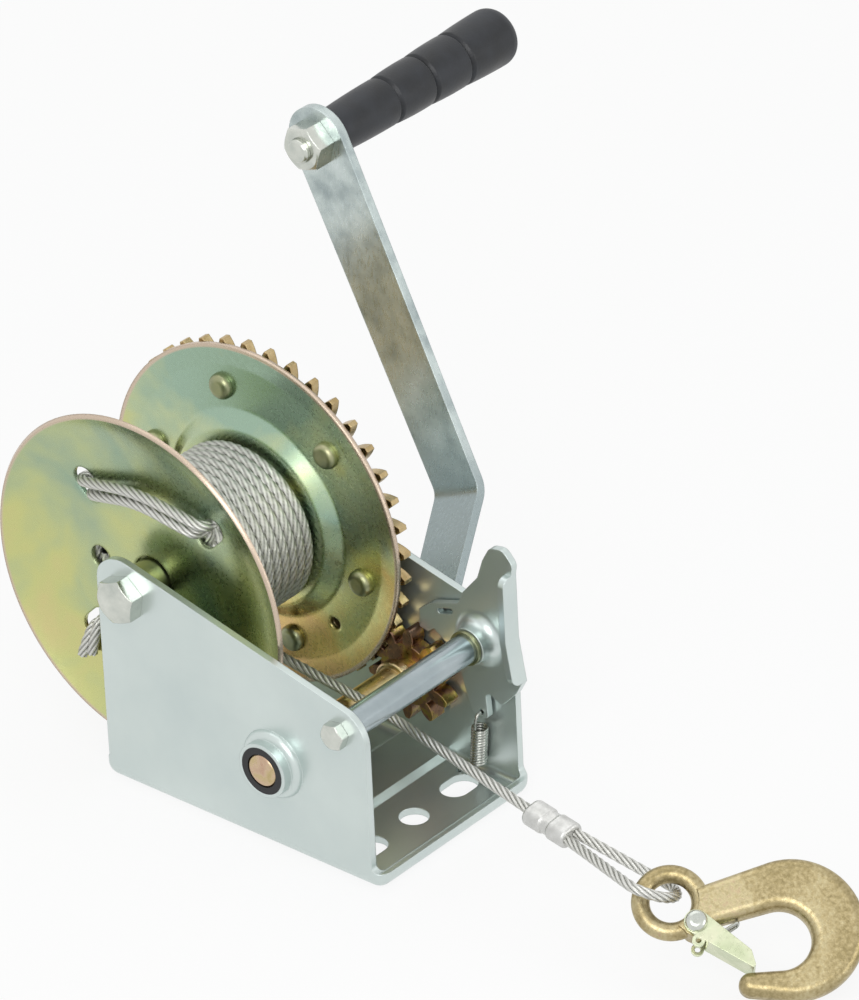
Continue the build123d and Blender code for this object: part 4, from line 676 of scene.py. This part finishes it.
def gripOutside(setup):
    x = np.linspace(setup["near"], setup["far"], setup["rows"])
    marks = np.array((setup["near"], *setup["grooves"], setup["far"]))
    cone = np.interp(x, [setup["near"], setup["far"]], [setup["nearRadius"], setup["farRadius"]])
    part = np.clip(np.searchsorted(marks, x, side="right") - 1, 0, len(marks) - 2)
    inPart = (x - marks[part]) / (marks[part + 1] - marks[part])
    fromGroove = np.abs(x[:, None] - np.array(setup["grooves"])).min(axis=1)
    groove = np.clip(1 - fromGroove / setup["half"], 0, 1) ** setup["grooveCurve"]
    intoRound = np.clip((x - setup["far"] + setup["round"]) / setup["round"], 0, 1)
    turnedIn = setup["tuck"] * setup["round"] * (1 - np.sqrt(np.maximum(1 - intoRound**2, 0.0)))
    edge = setup["edge"] * np.clip(1 - (x - setup["near"]) / setup["edge"], 0, 1)
    crown = setup["crown"] * (1 - (2 * inPart - 1) ** 2)
    return np.column_stack([x, cone + crown - setup["depth"] * groove - turnedIn - edge])


recessEnd, recessRadius = gripSetup["recess"]
profile = np.vstack([gripOutside(gripSetup),
                     [(gripSetup["far"], recessRadius), (recessEnd, recessRadius),
                      (recessEnd, gripSetup["bore"]), (gripSetup["near"], gripSetup["bore"])]])
grid = turnedGrid(gripSetup["axis"], profile[:, 0], profile[:, 1:], gripSetup["around"])
gripMesh = ringMesh("turnedGrip", grid, profile[:, 0], joined=True, sharp=gripSetup["sharp"])
showPiece("turnedGrip", gripMesh, "grip", "grip", "grip", "grip")
print("grip turned")

# Bolts and nuts: hexagons with a coned face, and threads on what sticks out
hexShape = {
    "face": 0.475,  # the flat face's radius, as a share of the width across flats
    "cone": 30.0, "coneRows": 9,
    "tip": 0.0003,  # radius of the first ring, at the middle of a head
    "threadDepth": 0.6,  # of a pitch
    "perPitch": 10, "around": 144, "sharp": 25.0,
}
hexSetup = {
    "drumBolt": {"body": "frame", "node": "drum_bolt", "axis": (0.053, 0.088), "flats": 0.017, "turn": 10.0,
                 "head": (-0.0525, -0.0455), "shank": 0.005, "thread": 0.016, "pitch": 0.0015},
    "tieBolt": {"body": "frame", "node": "tie_bolt", "axis": (-0.053, 0.0658), "flats": 0.010, "turn": 20.0,
                "head": (-0.0497, -0.0455), "shank": 0.003, "thread": 0.012, "pitch": 0.001},
    "drumNut": {"body": "frame", "node": "drum_nut", "axis": (0.053, 0.088), "flats": 0.017, "turn": 0.0,
                "bore": 0.00505, "coned": "high"},
    "tieNut": {"body": "frame", "node": "tie_nut", "axis": (-0.053, 0.0658), "flats": 0.010, "turn": 0.0,
               "bore": 0.00305, "coned": "high"},
    "crankNut": {"body": "crank", "node": "crank_nut", "axis": (-0.0193, 0.0396), "flats": 0.019, "turn": 0.0,
                 "bore": 0.00605, "coned": "high"},
    "gripNut": {"body": "crank", "node": "grip_nut", "axis": (0.06692, 0.22117), "flats": 0.017, "turn": 15.0,
                "bore": 0.00505, "coned": "low"},
}


# A hexagon's rows of X and radius: full at the plain face, and at the coned one drawn in to the flat
# face's radius, with X going in by the tangent of the cone's angle
def hexRows(low, high, flats, coned):
    corner = 0.5 * flats / math.cos(math.pi / 6)
    face = hexShape["face"] * flats
    radius = np.linspace(face, corner, hexShape["coneRows"])
    depth = (radius - face) * math.tan(math.radians(hexShape["cone"]))
    if coned == "low":
        return np.vstack([np.column_stack([low + depth, radius]), (high, corner)])
    return np.vstack([(low, corner), np.column_stack([high - depth, radius])[::-1]])


def hexGrid(setup, rows):
    return turnedGrid(setup["axis"], rows[:, 0], rows[:, 1:], hexShape["around"], setup["flats"],
                      setup["turn"])


# A shank's radius falls and rises once in each pitch along X, and the thread moves on by a pitch in
# each turn. The last pitch is drawn in
def shankGrid(setup, end):
    pitch, start = setup["pitch"], end - setup["thread"]
    depth = hexShape["threadDepth"] * pitch
    x = np.concatenate([[setup["head"][1]], np.arange(start, end, pitch / hexShape["perPitch"]), [end]])
    turns = np.arange(hexShape["around"]) / hexShape["around"]
    cut = np.abs(((x[:, None] / pitch - turns) % 1.0) * 2 - 1) * depth * (x >= start)[:, None]
    drawnIn = np.clip((x - end + pitch) / pitch, 0, 1)[:, None] * depth
    return turnedGrid(setup["axis"], x, setup["shank"] - np.maximum(cut, drawnIn), hexShape["around"])


for name, setup in hexSetup.items():
    low, high = (point[0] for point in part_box(setup["node"]))
    isNut = "bore" in setup
    if isNut:
        rows = hexRows(low, high, setup["flats"], setup["coned"])
        grid = hexGrid(setup, np.vstack([(low, setup["bore"]), rows, (high, setup["bore"])]))
    else:
        rows = hexRows(*setup["head"], setup["flats"], "low")
        headGrid = hexGrid(setup, np.vstack([(setup["head"][0], hexShape["tip"]), rows]))
        grid = np.concatenate([headGrid, shankGrid(setup, high)])
    mesh = ringMesh(name, grid, grid[:, 0, 0], joined=isNut, sharp=hexShape["sharp"])
    showPiece(name, mesh, "bolt", "zinc", setup["body"], setup["node"])
print("bolts and nuts cut")


# 1 for rays from the camera, off metal or through glass, which see the backdrop as plain white
def seenWhite(tree):
    ray = addNode(tree, "ShaderNodeLightPath")
    seen = ray.outputs["Is Camera Ray"]
    for kind in ("Is Transmission Ray", "Is Glossy Ray"):
        either = addNode(tree, "ShaderNodeMath", {0: seen, 1: ray.outputs[kind]}, operation="MAXIMUM")
        seen = either.outputs["Value"]
    return seen


# Floor of matt paper. A part of it glows white, and the rest keeps the shadow
floorSetup = {"half": 4.0, "height": -0.0004, "colour": "#F2F2F1", "rough": 0.9, "gloss": 0.2, "glow": 0.86}
white = hexColour("#FFFFFF")
floorMesh = bpy.data.meshes.new("floor")
corners = floorSetup["half"] * np.array([(-1, -1), (1, -1), (1, 1), (-1, 1)])
floorMesh.from_pydata(np.column_stack([corners, np.full(len(corners), floorSetup["height"])]),
                      [], [(0, 1, 2, 3)])
floorPaper, floorTree, floorShader = startMaterial("backdropPaper", {
    "Base Color": hexColour(floorSetup["colour"]), "Roughness": floorSetup["rough"],
    "Specular IOR Level": floorSetup["gloss"]})
floorShare = addNode(floorTree, "ShaderNodeMath", {0: seenWhite(floorTree), 1: floorSetup["glow"]},
                     operation="MULTIPLY")
floorGlow = addNode(floorTree, "ShaderNodeEmission", {"Color": white, "Strength": 1.0})
floorMix = addNode(floorTree, "ShaderNodeMixShader", {
    0: floorShare.outputs["Value"], 1: floorShader.outputs["BSDF"], 2: floorGlow.outputs["Emission"]})
floorTree.links.new(floorMix.outputs["Shader"], floorTree.nodes["Material Output"].inputs["Surface"])
floorMesh.materials.append(floorPaper)
floor = bpy.data.objects.new("floor", floorMesh)
scene.collection.objects.link(floor)

# Studio: a room that is lighter above lights the object
skySetup = {
    "rise": (-0.2, 0.8), "strength": 0.85,
    "tones": [(0.0, "#7C8082"), (0.35, "#A2A6A6"), (1.0, "#E4E6E6")],
}
world = bpy.data.worlds.new("studio")
scene.world = world
world.use_nodes = True
sky = world.node_tree
sky.nodes.clear()
skyWay = addNode(sky, "ShaderNodeSeparateXYZ", {0: addNode(sky, "ShaderNodeTexCoord").outputs["Generated"]})
skyRise = addNode(sky, "ShaderNodeMapRange", {
    "Value": skyWay.outputs["Z"], "From Min": skySetup["rise"][0], "From Max": skySetup["rise"][1]})
skyTone = addNode(sky, "ShaderNodeValToRGB", {"Fac": skyRise.outputs["Result"]}, stops=skySetup["tones"])
skyLight = addNode(sky, "ShaderNodeBackground", {
    "Color": skyTone.outputs["Color"], "Strength": skySetup["strength"]})
skyWhite = addNode(sky, "ShaderNodeBackground", {"Color": white, "Strength": 1.0})
skyMix = addNode(sky, "ShaderNodeMixShader", {
    0: seenWhite(sky), 1: skyLight.outputs["Background"], 2: skyWhite.outputs["Background"]})
addNode(sky, "ShaderNodeOutputWorld", {"Surface": skyMix.outputs["Shader"]})

lampSetup = {
    "keySoftbox": {"place": (-1.5, -1.0, 1.5), "size": 1.3, "power": 18.0},
    "topSoftbox": {"place": (0.3, 0.5, 2.0), "size": 1.8, "power": 7.0},
    "sideSoftbox": {"place": (0.5, -2.0, 0.6), "size": 1.0, "power": 6.0},
}
lampAim = (0.0, 0.0, 0.09)
lampUpright = (0.0, 1.0, 0.001)
for name, setup in lampSetup.items():
    light = bpy.data.lights.new(name, "AREA")
    light.size = setup["size"]
    light.energy = setup["power"]
    back = np.array(setup["place"]) - np.array(lampAim)
    back /= np.linalg.norm(back)
    level = np.cross(lampUpright, back)
    level /= np.linalg.norm(level)
    standAt(bpy.data.objects.new(name, light), setup["place"], level, np.cross(back, level), back)
print("studio lit")
